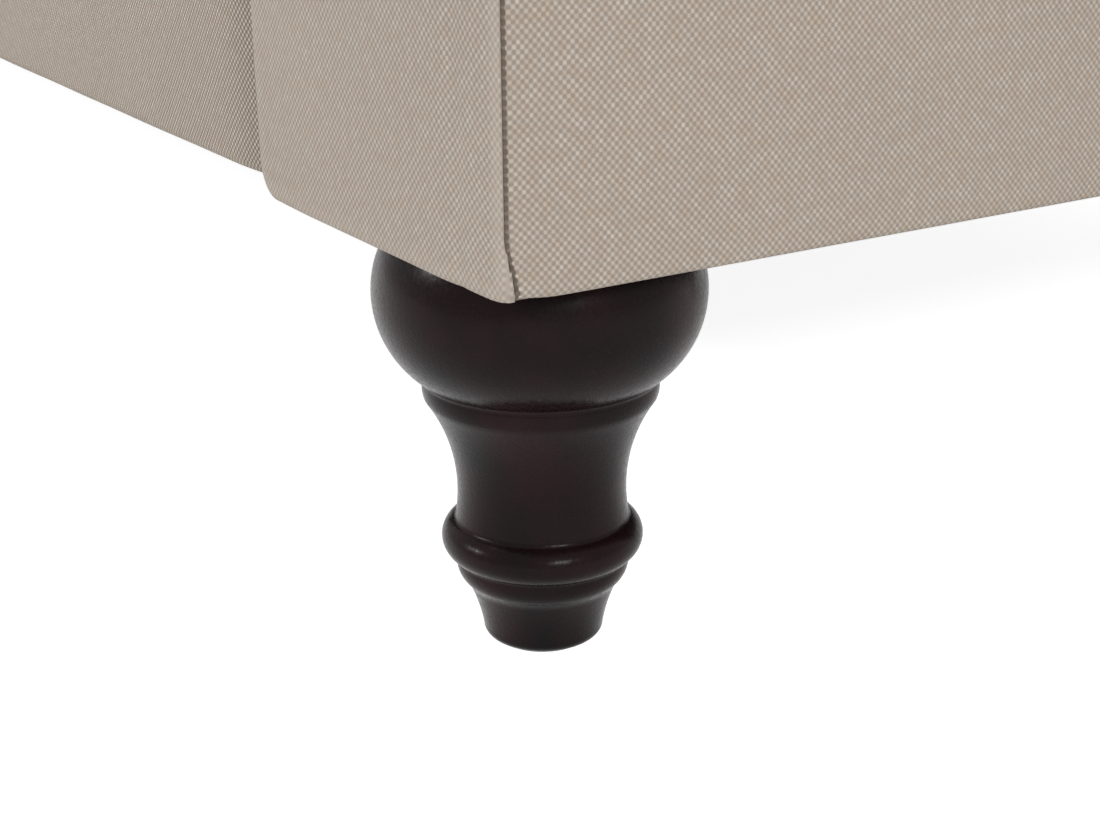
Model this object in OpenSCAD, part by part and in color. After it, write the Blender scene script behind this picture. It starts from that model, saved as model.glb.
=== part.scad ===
// Three-seat chesterfield sofa: rolled arms level with a rolled back, deep
// diamond buttoning, loose seat cushions and four turned legs.
// The origin lies on the floor under the middle of the sofa. The front faces
// -Y and the right-hand arm, seen from the front, is on +X.

/* [Overall] */
// Width over the arm rolls
overall_w = 2130; // [1900:10:2300]
// Depth from the arm facings to the back roll
overall_d = 860; // [800:10:950]
// Height of the rolls above the floor
overall_h = 720; // [690:5:760]

/* [Arms and back] */
// Radius of the rolls over their padding
roll_r = 95; // [88:1:105]
// How far a roll overhangs the outside cover below it
roll_overhang = 75; // [65:1:82]
// Width of an arm at its foot, seen from the front
facing_w = 163; // [155:1:170]
// How far the buttoned padding stands proud of the facing's edge
padding_proud = 7; // [4:0.5:10]
// Radius of the facing's bottom inner corner
facing_corner_r = 12; // [6:1:18]

/* [Buttoning] */
// Rows of buttons on the back and on each arm
button_rows = 6; // [5:1:6]
// Distance between two rows, along the padding
row_pitch = 80; // [74:1:84]
// Diamonds along the back, from mitre to mitre
back_diamonds = 11; // [9:2:13]
// Depth of a button below the top of the padding
button_depth = 22; // [18:1:24]
// Depth of a pleat below the top of the padding
pleat_depth = 12; // [8:1:15]
// Depth of the crease where arm and back meet
mitre_depth = 14; // [8:1:18]
// Radius of a covered button
button_r = 11; // [9:0.5:13]
// Height of a covered button
button_h = 6; // [4:0.5:8]

/* [Legs] */
// Height from the floor to the top of a leg
leg_h = 140; // [132:1:150]
// Largest radius of the bun
bun_r = 53.3; // [50:0.1:53.4]
// Radius of the bun's rounding
bun_round_r = 34.5; // [33:0.1:36]
// Height of the bun's widest place below the top of the leg
bun_drop = 19; // [17:0.5:21]
// Radius of the collar under the bun
collar_r = 38.4; // [37.6:0.1:39]
// Height of the collar
collar_h = 6.4; // [5:0.1:8]
// Smallest radius of the neck
neck_r = 27.8; // [26.5:0.1:28.5]
// Radius of the neck's hollow
neck_hollow_r = 56.3; // [54:0.1:60]
// Height of the neck's smallest place
neck_z = 54; // [52:0.5:56]
// Largest radius of the ring
ring_r = 33.4; // [32.5:0.1:34.5]
// Radius of the ring's rounding
ring_round_r = 7; // [6.5:0.1:7.5]
// Height of the ring's widest place
ring_z = 37; // [36:0.5:38]
// Largest radius of the lip under the ring
lip_r = 28.7; // [28:0.1:29.5]
// Radius of the lip's rounding
lip_round_r = 8; // [7.5:0.1:9]
// Radius of the foot above its rounded edge
foot_r = 20.1; // [19:0.1:22]
// Depth of the hollow in the foot's side
foot_hollow = 0.65; // [0:0.05:1]
// Radius of the foot's rounded edge
foot_round_r = 3.5; // [2.5:0.1:4]
// Distance from the facing's front to the axis of a front leg
leg_back = 53.5; // [53.4:0.1:58]
// Distance from the outside cover to the axis of a leg
leg_in = 70; // [60:1:72]
// Thickness of the felt pad under a leg
felt_t = 1.2; // [0.8:0.1:3]
// Radius of the felt pad
felt_r = 16; // [12:0.5:16.5]
// Radius of the hanger bolt that holds a leg
bolt_r = 4; // [3:0.5:5]
// Depth of the bolt in the leg
bolt_in_leg = 35; // [25:1:45]
// Length of the threaded insert in the corner block
insert_len = 20; // [15:1:25]
// Outer radius of the threaded insert
insert_r = 6; // [5.6:0.1:8]

/* [Frame] */
// Thickness of the rails and posts
rail_t = 28; // [22:1:32]
// Height of the front, side and rear rails
rail_h = 150; // [135:1:165]
// Height of the spring rail
spring_rail_h = 70; // [50:1:80]
// Width of a post
post_w = 60; // [45:1:70]
// Side of a corner block
block_w = 88; // [80:1:90]
// Width of the top rails inside the rolls
top_rail_w = 90; // [80:1:92]
// Thickness of the top rails
top_rail_t = 25; // [20:1:28]
// Distance of the middle posts and braces from the middle of the sofa
brace_x = 320; // [280:5:340]
// Height of a stuffing rail
stuffing_h = 45; // [35:1:55]
// Thickness of an arm front board, and of the roll formers
arm_board_t = 18; // [12:1:20]
// Thickness of the fibre boards under the outside covers
liner_t = 3; // [2:0.5:4]

/* [Upholstery] */
// Thickness of a cover
skin_t = 1.5; // [1:0.1:2]
// Width of a cover's edge turned under the frame
turn_under = 25; // [18:1:28]
// Thickness of the pad behind an arm facing
facing_pad_t = 6.5; // [5:0.5:8]
// How far the front rail cover lies behind the facings
rail_setback = 10; // [7:0.5:13]
// Rounding of the front rail cover's top edge
rail_edge_r = 13; // [8:1:15]
// Rounding of the front rail cover's bottom edge
rail_foot_r = 4; // [2:0.5:6]
// Depth of the foam below the top of the padding
foam_inset = 25; // [24.5:0.5:28]
// Thickness of the deck pad
deck_pad_t = 10.5; // [6:0.5:15]
// Thickness of the deck cloth
cloth_t = 1; // [0.8:0.1:1.5]
// Thickness of the webbing
web_t = 1.5; // [1:0.1:1.8]
// Bands of webbing on the back and on each arm
web_count = 3; // [2:1:3]

/* [Springs] */
// Number of seat springs
spring_count = 12; // [9:1:15]
// Thickness of the spring wire
wire_t = 4; // [3:0.1:4.2]
// Width of a spring, over its bends
spring_w = 52; // [45:1:60]
// Number of bends in a spring
spring_bends = 20; // [16:2:22]
// Width of a spring clip
clip_w = 18; // [14:1:24]
// Length of a spring clip
clip_l = 20; // [16:1:24]
// Height of a spring clip
clip_h = 5.5; // [5:0.1:6]

/* [Cushions] */
// Height of a cushion at its middle
cushion_h = 140; // [120:1:150]
// Rise of a cushion's top from its seam to its middle
cushion_crown = 22; // [15:1:30]
// Height of a cushion's lower seam above its underside
cushion_foot = 6; // [4:0.5:10]
// How far the seams are drawn in from the boxing
cushion_draw = 6; // [3:0.5:9]
// Radius of a cushion's corners
cushion_corner_r = 40; // [30:1:50]
// Gap between two cushions
cushion_gap = 1.5; // [1:0.5:4]
// Gap between a cushion and the arm
arm_gap = 3; // [2:0.5:5]
// Gap behind the cushions
back_gap = 7; // [6:0.5:10]
// Thickness of the cover and its fibre wrap round the core
wrap_t = 14; // [12:0.5:16]
// Length of the zip
zip_len = 430; // [380:10:440]
// Width of the zip's tape
tape_w = 22; // [18:1:24]
// Thickness of the zip's tape
tape_t = 0.8; // [0.6:0.1:1]
// Width of the zip's teeth
teeth_w = 5; // [4:0.1:6]
// Height of the zip's teeth over the tape
teeth_t = 1.2; // [1:0.1:1.4]
// Length of the zip's slider
slider_l = 11; // [9:0.5:13]
// Wall of the zip's slider
slider_wall = 1.1; // [0.9:0.1:1.3]
// Length of the slider's pull
pull_l = 16; // [12:1:20]

/* [Hidden] */

fabric_colour = "#b0a495";
leg_colour = "#2a2322";
wood_colour = "#c39f70";
foam_colour = "#e8dfc0";
steel_colour = "#9a9c9e";
cloth_colour = "#a98f66";
felt_colour = "#d8d4cc";
black_colour = "#26262a";

round_fn = 96;
button_fn = 36;
former_steps = 24;
scroll_steps = 30;
edge_steps = 6;

// Clearance between neighbouring pieces, and the overrun of a cut
clear = 0.3;
overrun = 5;

// Centre lines of the rolls
roll_x = overall_w / 2 - roll_r;
roll_y = overall_d / 2 - roll_r;
roll_z = overall_h - roll_r;
front_y = -overall_d / 2;

// Distances inward from a roll's centre line: cover, board, frame and facing
cover_d = roll_overhang - roll_r;
liner_d = cover_d + skin_t;
frame_d = liner_d + liner_t;
post_d = frame_d + rail_t;
facing_d = facing_w + cover_d;
seat_d = facing_d + padding_proud;
web_d = post_d + web_t;

// The same faces as places
side_x = roll_x - cover_d;
liner_x = roll_x - liner_d;
frame_x = roll_x - frame_d;
post_x = roll_x - post_d;
rear_y = roll_y - cover_d;
liner_y = roll_y - liner_d;
frame_y = roll_y - frame_d;
post_y = roll_y - post_d;
board_y = front_y + skin_t + facing_pad_t;
frame_front_y = board_y + arm_board_t;
rail_back_y = frame_front_y + rail_t;
rail_cover_y = front_y + rail_setback;
facing_x = roll_x - facing_d;
deck_x = roll_x - seat_d - clear;
deck_y = roll_y - seat_d - clear;
spring_rail_y = roll_y - seat_d + foam_inset + rail_t / 4;
spring_front_y = frame_front_y + rail_t / 2;

// Heights from the floor up
frame_z = leg_h + skin_t;
rail_top_z = frame_z + rail_h;
cloth_z = rail_top_z + clip_h;
pad_z = cloth_z + cloth_t;
deck_z = pad_z + deck_pad_t + skin_t;
tuck_z = pad_z + clear;
top_rail_z = roll_z - roll_r / 2;
top_rail_top_z = top_rail_z + top_rail_t;
stuffing_z = rail_top_z + stuffing_h;
former_r = top_rail_w / 2;

// Path of the padding's top: a straight face, then round the roll.
// A point on it is [distance inward from the roll's centre line, height].
tuck_rise = roll_z - tuck_z;
tuck_far = sqrt(seat_d * seat_d + tuck_rise * tuck_rise);
start_angle = acos(roll_r / tuck_far) - atan2(tuck_rise, seat_d);
end_angle = 360 - acos(cover_d / roll_r);
face_len = sqrt(tuck_far * tuck_far - roll_r * roll_r);
function roll_s(angle) = face_len + roll_r * (angle - start_angle) * PI / 180;
rim_s = roll_s(180);
end_s = roll_s(end_angle);
row_last_s = roll_s(90) + row_pitch;
row_first_s = row_last_s - (button_rows - 1) * row_pitch;
cover_top_z = roll_z + roll_r * sin(end_angle) - clear;

function face_angle(s) =
    s < face_len ? start_angle
    : start_angle + (s - face_len) * 180 / (PI * roll_r);
function face_point(s, depth) =
    let (
        a = face_angle(s),
        r = roll_r - depth,
        below = max(face_len - s, 0)
    )
    [
        r * cos(a) + below * sin(a),
        max(tuck_z, roll_z + r * sin(a) - below * cos(a))
    ];

function limit(v, low, high) = max(low, min(high, v));
function arc(cx, cy, r, a0, a1, steps) = [
    for (k = [0:steps])
    let (a = a0 + k * (a1 - a0) / steps)
    [cx + r * cos(a), cy + r * sin(a)]
];

// Diamonds. q counts pitches away from the mitre, and row counts from the seat
arm_diamonds = 4.5;
arm_pitch = (roll_y - frame_front_y - clear) / arm_diamonds;
back_pitch = 2 * roll_x / back_diamonds;
pleat_end_share = 0.35;
mitre_reach_share = 0.35;
button_zone_share = 0.75;
section_share = 1 / 4;

function along(q, d, pitch) =
    q >= 1 ? q * pitch : q * pitch + (1 - q) * (d + clear / 2);
function zone(d, pitch) = limit((pitch - d) / pitch, 0, 1);
function tuft_depth(q, s, d, pitch) =
    let (
        t = (s - row_first_s) / row_pitch,
        row = limit(t, 0, button_rows - 1),
        past = abs(t - row),
        u = 180 * (q - 0.5 + row / 2),
        v = 180 * (q - 0.5 - row / 2),
        pillow = sqrt(abs(sin(u) * sin(v))),
        pull = pow(cos(u) * cos(v), 2) * max(0, 1 - 2 * past),
        fade = 1 - (1 - pleat_end_share) * limit(past / 2, 0, 1),
        tuft = (1 - pillow) * pleat_depth * fade
            + pull * (button_depth - pleat_depth),
        share = q >= 1 ? 1 : q + (1 - q) * zone(d, pitch),
        mitre = mitre_depth * pow(max(0, 1 - q / mitre_reach_share), 2)
    )
    min(button_depth, share * tuft + mitre);

// Places along the path where the buttoned padding has a ring of points
face_rings = concat(
    [0, row_first_s / 3, 2 * row_first_s / 3],
    [for (k = [0:2 * (button_rows - 1)]) row_first_s + k * row_pitch / 2],
    [(row_last_s + rim_s) / 2, rim_s],
    [for (k = [1:3]) rim_s + k * (end_s - rim_s) / 3]
);

// Outside of the foam, moved in by a gap. The padding's back has no gap
foam_r = roll_r - foam_inset;
foam_end_angle = 180 + asin((roll_z - top_rail_z) / foam_r);
foam_turns = 6;
function foam_line(gap) =
    let (
        r = foam_r - gap,
        below = (roll_z + r * sin(start_angle) - tuck_z) / cos(start_angle)
    )
    concat(
        [[r * cos(start_angle) + below * sin(start_angle), tuck_z]],
        arc(0, roll_z, r, start_angle, foam_end_angle, foam_turns)
    );
padding_end = 360 - acos((frame_d - clear) / foam_r);
padding_back = concat(
    foam_line(0),
    [[foam_r * cos(padding_end), roll_z + foam_r * sin(padding_end)]]
);

ring_n = len(face_rings);
back_n = len(padding_back);
loop_n = ring_n + back_n;

// One section of the padding: points [distance from the roll's crossing,
// distance inward, height], up the front and down the back
function padding_section(q, pitch, drop) = concat(
    [
        for (s = face_rings)
        let (
            d = face_point(s, 0)[0],
            depth = min(button_depth, tuft_depth(q, s, d, pitch) + drop),
            p = face_point(s, depth)
        )
        [along(q, p[0], pitch), p[0], p[1]]
    ],
    [
        for (k = [1:back_n])
        let (p = padding_back[back_n - k])
        [along(q, p[0], pitch), p[0], p[1]]
    ]
);

function wall_faces(i) = [
    for (j = [0:loop_n - 1])
    let (
        a = i * loop_n + j,
        b = i * loop_n + (j + 1) % loop_n,
        c = a + loop_n,
        e = b + loop_n,
        pleat = (i + j) % 2 == 1
    )
    each pleat ? [[a, b, e], [a, e, c]] : [[a, b, c], [b, e, c]]
];

// An end is closed with triangles between its front and its back points
function partner(j) = loop_n - 1 - round(j * (back_n - 1) / (ring_n - 1));
function end_faces(first, flip) = [
    for (j = [0:ring_n - 2])
    let (
        a = first + j,
        b = first + partner(j),
        c = first + partner(j + 1),
        near = [a, b, a + 1],
        far = [a + 1, b, c]
    )
    each [
        for (f = b == c ? [near] : [near, far])
        flip ? [f[2], f[1], f[0]] : f
    ]
];

module padding(sections) {
    n = len(sections);
    polyhedron(
        points = [for (section = sections) each section],
        faces = concat(
            [for (i = [0:n - 2]) each wall_faces(i)],
            end_faces(0, false),
            end_faces((n - 1) * loop_n, true)
        )
    );
}

function back_section(i) =
    let (
        half = back_diamonds / 2,
        g = i / 4 - half,
        side = g < 0 ? -1 : 1
    )
    [
        for (p = padding_section(half - abs(g), back_pitch, 0))
        [side * (roll_x - p[0]), roll_y - p[1], p[2]]
    ];
function arm_section(i) = [
    for (p = padding_section(i / 4, arm_pitch, i == 4 * arm_diamonds ? padding_proud : 0))
    [roll_x - p[1], roll_y - p[0], p[2]]
];

// Outline of an arm's front, in from its edge by an inset
function facing_outline(inset) =
    let (
        outer_d = liner_d + clear + inset,
        inner_d = facing_d - inset,
        r = roll_r - padding_proud - inset,
        low = leg_h + inset,
        corner = facing_corner_r - inset,
        below = (inner_d - r * cos(start_angle)) / sin(start_angle),
        knee_z = roll_z + r * sin(start_angle) - below * cos(start_angle)
    )
    concat(
        [[outer_d, low], [inner_d - corner, low]],
        arc(inner_d - corner, low + corner, corner, -90, 0, edge_steps),
        [[inner_d, knee_z]],
        arc(0, roll_z, r, start_angle, 360 - acos(outer_d / r), scroll_steps)
    );

// Side view of the front rail cover, in from its face by an inset
function rail_outline(inset) =
    let (
        y = rail_cover_y + inset,
        low = leg_h + inset,
        top = deck_z - inset,
        foot = rail_foot_r - inset,
        edge = rail_edge_r - inset
    )
    concat(
        arc(y + foot, low + foot, foot, 270, 180, edge_steps),
        arc(y + edge, top - edge, edge, 180, 90, edge_steps)
    );

module along_x(x0, x1) {
    translate([x0, 0, 0]) rotate([90, 0, 90]) linear_extrude(x1 - x0) children();
}
module along_y(y0, y1) {
    translate([0, y1, 0]) rotate([90, 0, 0]) linear_extrude(y1 - y0) children();
}
module box(low, high) {
    translate(low) cube(high - low);
}
module both_sides() {
    children();
    mirror([1, 0, 0]) children();
}
module at_legs() {
    for (y = [front_y + leg_back, rear_y - leg_back])
        both_sides()
            translate([side_x - leg_in, y, 0]) children();
}

// Plan of the back and of the right arm, each cut off at the mitre
module back_plan(low, high) {
    y0 = roll_y - seat_d;
    y1 = roll_y + roll_r;
    half = roll_x - roll_y - clear / 2;
    translate([0, 0, low])
        linear_extrude(high - low)
            polygon([[-half - y0, y0], [half + y0, y0], [half + y1, y1], [-half - y1, y1]]);
}
module arm_plan(low, high) {
    x0 = roll_x - seat_d;
    x1 = roll_x + roll_r;
    end = roll_y - roll_x - clear / 2;
    y0 = frame_front_y + clear;
    translate([0, 0, low])
        linear_extrude(high - low)
            polygon([[x0, y0], [x1, y0], [x1, x1 + end], [x0, x0 + end]]);
}

function leg_profile() =
    let (
        bun_x = bun_r - bun_round_r,
        bun_z = leg_h - bun_drop,
        crease = clear * 2,
        bun_end = -acos((collar_r + crease - bun_x) / bun_round_r),
        bun_top = asin(bun_drop / bun_round_r),
        collar_top = bun_z + bun_round_r * sin(bun_end) - crease,
        collar_low = collar_top - collar_h,
        bulge = (collar_h * collar_h / 4 + crease * crease) / (2 * crease),
        swell = asin(collar_h / 2 / bulge),
        ring_turn = 70,
        ring_x = ring_r - ring_round_r,
        neck_low = ring_z + ring_round_r * sin(ring_turn),
        neck_x = neck_r + neck_hollow_r,
        lip_x = lip_r - lip_round_r,
        lip_z = ring_z - ring_round_r - lip_round_r / 4,
        lip_low = -50,
        foot_top = [
            lip_x + lip_round_r * cos(lip_low) - crease,
            lip_z + lip_round_r * sin(lip_low) - crease
        ],
        foot_low = [foot_r, felt_t + foot_round_r]
    )
    concat(
        [[0, felt_t]],
        arc(foot_r - foot_round_r, foot_low[1], foot_round_r, -90, 0, edge_steps),
        [
            for (k = [1:edge_steps])
            let (f = k / edge_steps, p = foot_low + (foot_top - foot_low) * f)
            [p[0] - foot_hollow * 4 * f * (1 - f), p[1]]
        ],
        arc(lip_x, lip_z, lip_round_r, lip_low, 14, edge_steps),
        arc(ring_x, ring_z, ring_round_r, -ring_turn, ring_turn, 2 * edge_steps),
        arc(
            neck_x, neck_z, neck_hollow_r,
            180 - asin((neck_low - neck_z) / neck_hollow_r),
            180 - asin((collar_low - crease - neck_z) / neck_hollow_r),
            2 * edge_steps
        ),
        arc(collar_r - bulge, collar_top - collar_h / 2, bulge, -swell, swell, edge_steps),
        arc(bun_x, bun_z, bun_round_r, bun_end, bun_top, 2 * edge_steps),
        [[0, leg_h]]
    );

module leg(side, y) {
    color(leg_colour)
        translate([side * (side_x - leg_in), y, 0])
            difference() {
                rotate_extrude($fn = round_fn) polygon(leg_profile());
                translate([0, 0, leg_h - bolt_in_leg - clear])
                    cylinder(r = bolt_r + clear / 2, h = bolt_in_leg + overrun, $fn = round_fn);
            }
}
module leg_front_right() { leg(1, front_y + leg_back); }
module leg_front_left() { leg(-1, front_y + leg_back); }
module leg_rear_right() { leg(1, rear_y - leg_back); }
module leg_rear_left() { leg(-1, rear_y - leg_back); }

module felt_pads() {
    color(felt_colour) at_legs() cylinder(r = felt_r, h = felt_t, $fn = round_fn);
}
module leg_bolts() {
    color(steel_colour)
        at_legs()
            translate([0, 0, leg_h - bolt_in_leg])
                cylinder(
                    r = bolt_r, h = bolt_in_leg + skin_t + insert_len - clear, $fn = round_fn
                );
}
module leg_inserts() {
    color(steel_colour)
        at_legs()
            translate([0, 0, frame_z])
                difference() {
                    cylinder(r = insert_r, h = insert_len, $fn = round_fn);
                    translate([0, 0, -overrun])
                        cylinder(
                            r = bolt_r + clear / 2, h = insert_len + 2 * overrun, $fn = round_fn
                        );
                }
}
module corner_blocks() {
    color(wood_colour)
        difference() {
            both_sides() {
                box(
                    [post_x - block_w, frame_front_y, frame_z],
                    [post_x, frame_front_y + block_w, rail_top_z]
                );
                box(
                    [post_x - block_w, post_y - block_w, frame_z],
                    [post_x, post_y, rail_top_z]
                );
            }
            at_legs()
                translate([0, 0, frame_z - overrun])
                    cylinder(r = insert_r, h = insert_len + clear + overrun, $fn = round_fn);
        }
}

module front_rail() {
    color(wood_colour)
        box(
            [block_w - post_x, frame_front_y, frame_z],
            [post_x - block_w, rail_back_y, rail_top_z]
        );
}
module rear_rail() {
    color(wood_colour)
        box([-post_x, post_y, frame_z], [post_x, frame_y, rail_top_z]);
}
module side_rails() {
    color(wood_colour)
        both_sides()
            box([post_x, frame_front_y, frame_z], [frame_x, frame_y, rail_top_z]);
}
module spring_rail() {
    color(wood_colour)
        box(
            [-post_x, spring_rail_y - rail_t / 2, rail_top_z - spring_rail_h],
            [post_x, spring_rail_y + rail_t / 2, rail_top_z]
        );
}
module seat_braces() {
    color(wood_colour)
        both_sides()
            box(
                [brace_x - rail_t / 2, rail_back_y, frame_z],
                [brace_x + rail_t / 2, post_y, rail_top_z - spring_rail_h]
            );
}

module back_posts() {
    color(wood_colour)
        both_sides()
            for (x = [brace_x - post_w / 2, post_x - post_w])
                box([x, post_y, rail_top_z], [x + post_w, frame_y, top_rail_z]);
}
module arm_posts() {
    color(wood_colour)
        both_sides()
            for (y = [frame_front_y, post_y - post_w])
                box([post_x, y, rail_top_z], [frame_x, y + post_w, top_rail_z]);
}
module back_top_rail() {
    color(wood_colour)
        intersection() {
            box(
                [-roll_x - former_r, roll_y - former_r, top_rail_z],
                [roll_x + former_r, roll_y + former_r, top_rail_top_z]
            );
            back_plan(top_rail_z - overrun, top_rail_top_z + overrun);
        }
}
module arm_top_rails() {
    color(wood_colour)
        both_sides()
            intersection() {
                box(
                    [roll_x - former_r, frame_front_y, top_rail_z],
                    [roll_x + former_r, roll_y + former_r, top_rail_top_z]
                );
                arm_plan(top_rail_z - overrun, top_rail_top_z + overrun);
            }
}

// A half-round former that stands on a top rail and shapes the roll
module former() {
    difference() {
        circle(r = former_r, $fn = round_fn);
        translate([-roll_r, -roll_r]) square([2 * roll_r, roll_r]);
    }
}
module roll_formers() {
    color(wood_colour)
        both_sides() {
            for (x = [brace_x - arm_board_t / 2, post_x - post_w])
                along_x(x, x + arm_board_t)
                    translate([roll_y, top_rail_top_z]) former();
            for (y = [frame_front_y + clear, post_y - post_w])
                along_y(y, y + arm_board_t)
                    translate([roll_x, top_rail_top_z]) former();
        }
}
module stuffing_rails() {
    inner_x = brace_x + post_w / 2;
    top = stuffing_z + stuffing_h;
    color(wood_colour) {
        box([post_w - inner_x, post_y, stuffing_z], [inner_x - post_w, frame_y, top]);
        both_sides() {
            box([inner_x, post_y, stuffing_z], [post_x - post_w, frame_y, top]);
            box(
                [post_x, frame_front_y + post_w, stuffing_z],
                [frame_x, post_y - post_w, top]
            );
        }
    }
}

module arm_outline(inset) {
    polygon([for (p = facing_outline(inset)) [roll_x - p[0], p[1]]]);
}
module arm_front_board() {
    color(wood_colour) along_y(board_y, frame_front_y) arm_outline(skin_t + clear);
}
module arm_front_board_right() { arm_front_board(); }
module arm_front_board_left() { mirror([1, 0, 0]) arm_front_board(); }

module outside_back_board() {
    color(cloth_colour)
        box([-frame_x, frame_y, frame_z], [frame_x, liner_y, cover_top_z]);
}
module outside_arm_boards() {
    color(cloth_colour)
        both_sides()
            box(
                [frame_x, frame_front_y + clear, frame_z],
                [liner_x, liner_y - clear, cover_top_z]
            );
}

// Seen from above: bars across the seat, joined by half rings at their ends
module spring_outline() {
    pitch = (spring_rail_y - spring_front_y) / spring_bends;
    bend_r = pitch / 2;
    bar = spring_w - pitch - wire_t;
    for (k = [0:spring_bends])
        translate([-bar / 2, k * pitch - wire_t / 2]) square([bar, wire_t]);
    for (k = [0:spring_bends - 1]) {
        side = k % 2 == 0 ? 1 : -1;
        translate([side * bar / 2, (k + 0.5) * pitch])
            difference() {
                circle(r = bend_r + wire_t / 2, $fn = round_fn);
                circle(r = bend_r - wire_t / 2, $fn = round_fn);
                translate([side > 0 ? -pitch : 0, -pitch]) square([pitch, 2 * pitch]);
            }
    }
}
module at_springs() {
    spacing = 2 * deck_x / spring_count;
    for (k = [0:spring_count - 1])
        translate([(k + 0.5) * spacing - deck_x, 0, 0]) children();
}
module seat_springs() {
    color(steel_colour)
        at_springs()
            translate([0, spring_front_y, rail_top_z + (clip_h - wire_t) / 2])
                linear_extrude(wire_t) spring_outline();
}
module spring_clips() {
    slot = wire_t / 2 + clear;
    color(steel_colour)
        at_springs()
            for (end = [[spring_front_y, 1], [spring_rail_y, -1]])
                translate([0, end[0], rail_top_z])
                    difference() {
                        box([-clip_w / 2, -clip_l / 2, 0], [clip_w / 2, clip_l / 2, clip_h]);
                        box(
                            [-clip_w, min(-slot * end[1], clip_l * end[1]), clip_h / 2 - slot],
                            [clip_w, max(-slot * end[1], clip_l * end[1]), clip_h / 2 + slot]
                        );
                    }
}

// The bands share out the height between the stuffing rails and the top rails
web_share = 0.76;
web_low = stuffing_z + stuffing_h;
web_step = (top_rail_z - web_low) / web_count;
web_w = web_share * web_step;
module web_bands() {
    for (k = [0:web_count - 1])
        translate([0, 0, web_low + (k + 0.5) * web_step - web_w / 2]) children();
}
module back_webbing() {
    color(cloth_colour)
        web_bands() box([-post_x, post_y - web_t, 0], [post_x, post_y, web_w]);
}
module arm_webbing() {
    color(cloth_colour)
        both_sides()
            web_bands()
                box(
                    [post_x - web_t, frame_front_y, 0],
                    [post_x, post_y - web_t - clear, web_w]
                );
}

module deck_cloth() {
    color(cloth_colour)
        box(
            [-post_x, frame_front_y, cloth_z],
            [post_x, spring_rail_y + rail_t / 2, pad_z]
        );
}
module deck_pad() {
    color(foam_colour)
        box([-deck_x, frame_front_y + clear, pad_z], [deck_x, deck_y, deck_z - skin_t]);
}
module deck_cover() {
    color(fabric_colour)
        box([-deck_x, frame_front_y + clear, deck_z - skin_t], [deck_x, deck_y, deck_z]);
}
module front_rail_pad() {
    inside_z = deck_z - skin_t;
    color(foam_colour)
        along_x(clear - facing_x, facing_x - clear)
            polygon(concat(
                [[frame_front_y, frame_z]],
                rail_outline(skin_t),
                [[frame_front_y, inside_z]]
            ));
}
module front_rail_cover() {
    color(fabric_colour)
        along_x(clear - facing_x, facing_x - clear)
            polygon(concat(
                [[rail_cover_y + turn_under, leg_h]],
                rail_outline(0),
                [[frame_front_y, deck_z], [frame_front_y, deck_z - skin_t]],
                [
                    for (k = [1:2 * edge_steps + 2])
                    rail_outline(skin_t)[2 * edge_steps + 2 - k]
                ],
                [[rail_cover_y + turn_under, frame_z]]
            ));
}

// The foam: a slab on the webbing that turns over the formers
function foam_outline() = concat(
    [[web_d + clear, tuck_z]],
    [[web_d + clear, top_rail_z - clear], [former_r + clear, top_rail_z - clear]],
    arc(0, top_rail_top_z, former_r + clear, 0, 180, former_steps),
    [[-former_r - clear, top_rail_z - clear]],
    [for (k = [1:foam_turns + 2]) foam_line(clear)[foam_turns + 2 - k]]
);
module back_foam() {
    color(foam_colour)
        intersection() {
            along_x(-roll_x - roll_r, roll_x + roll_r)
                polygon([for (p = foam_outline()) [roll_y - p[0], p[1]]]);
            back_plan(rail_top_z, overall_h);
        }
}
module arm_foam() {
    color(foam_colour)
        intersection() {
            along_y(frame_front_y, roll_y + roll_r)
                polygon([for (p = foam_outline()) [roll_x - p[0], p[1]]]);
            arm_plan(rail_top_z, overall_h);
        }
}
module arm_foam_right() { arm_foam(); }
module arm_foam_left() { mirror([1, 0, 0]) arm_foam(); }

module inside_back() {
    color(fabric_colour) padding([for (i = [0:4 * back_diamonds]) back_section(i)]);
}
module inside_arm() {
    color(fabric_colour) padding([for (i = [0:4 * arm_diamonds]) arm_section(i)]);
}
module inside_arm_right() { inside_arm(); }
module inside_arm_left() { mirror([1, 0, 0]) inside_arm(); }

// Buttons of one panel: each is [pitches from the mitre, row]
function button_places(reach, pitch) = [
    for (row = [0:button_rows - 1])
    let (d = face_point(row_first_s + row * row_pitch, 0)[0])
    for (k = [0:reach])
    let (q = k + (row % 2 == 0 ? 0.5 : 1))
    if (q < reach && (q >= 1 || zone(d, pitch) > button_zone_share)) [q, row]
];
// A button sits on the sides of its tuft, so the steeper they are the higher it sits
function tuft_slope(q, s, d, pitch) =
    max([
        for (near = [q - section_share, q + section_share])
        (tuft_depth(q, s, d, pitch) - tuft_depth(near, s, d, pitch))
            / abs(along(near, d, pitch) - along(q, d, pitch))
    ]);
function button_point(q, s, pitch) =
    let (d = face_point(s, 0)[0])
    face_point(
        s,
        tuft_depth(q, s, d, pitch) - button_r * tuft_slope(q, s, d, pitch) - clear
    );
module button() {
    dome_r = (button_r * button_r + button_h * button_h) / (2 * button_h);
    edge = asin(button_r / dome_r);
    rotate_extrude($fn = button_fn)
        polygon(concat([[0, 0]], arc(0, button_h - dome_r, dome_r, 90 - edge, 90, edge_steps)));
}
module arm_buttons() {
    color(fabric_colour)
        for (place = button_places(arm_diamonds, arm_pitch)) {
            s = row_first_s + place[1] * row_pitch;
            p = button_point(place[0], s, arm_pitch);
            translate([roll_x - p[0], roll_y - along(place[0], p[0], arm_pitch), p[1]])
                rotate([0, face_angle(s) - 90, 0]) button();
        }
}
module arm_buttons_right() { arm_buttons(); }
module arm_buttons_left() { mirror([1, 0, 0]) arm_buttons(); }
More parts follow.
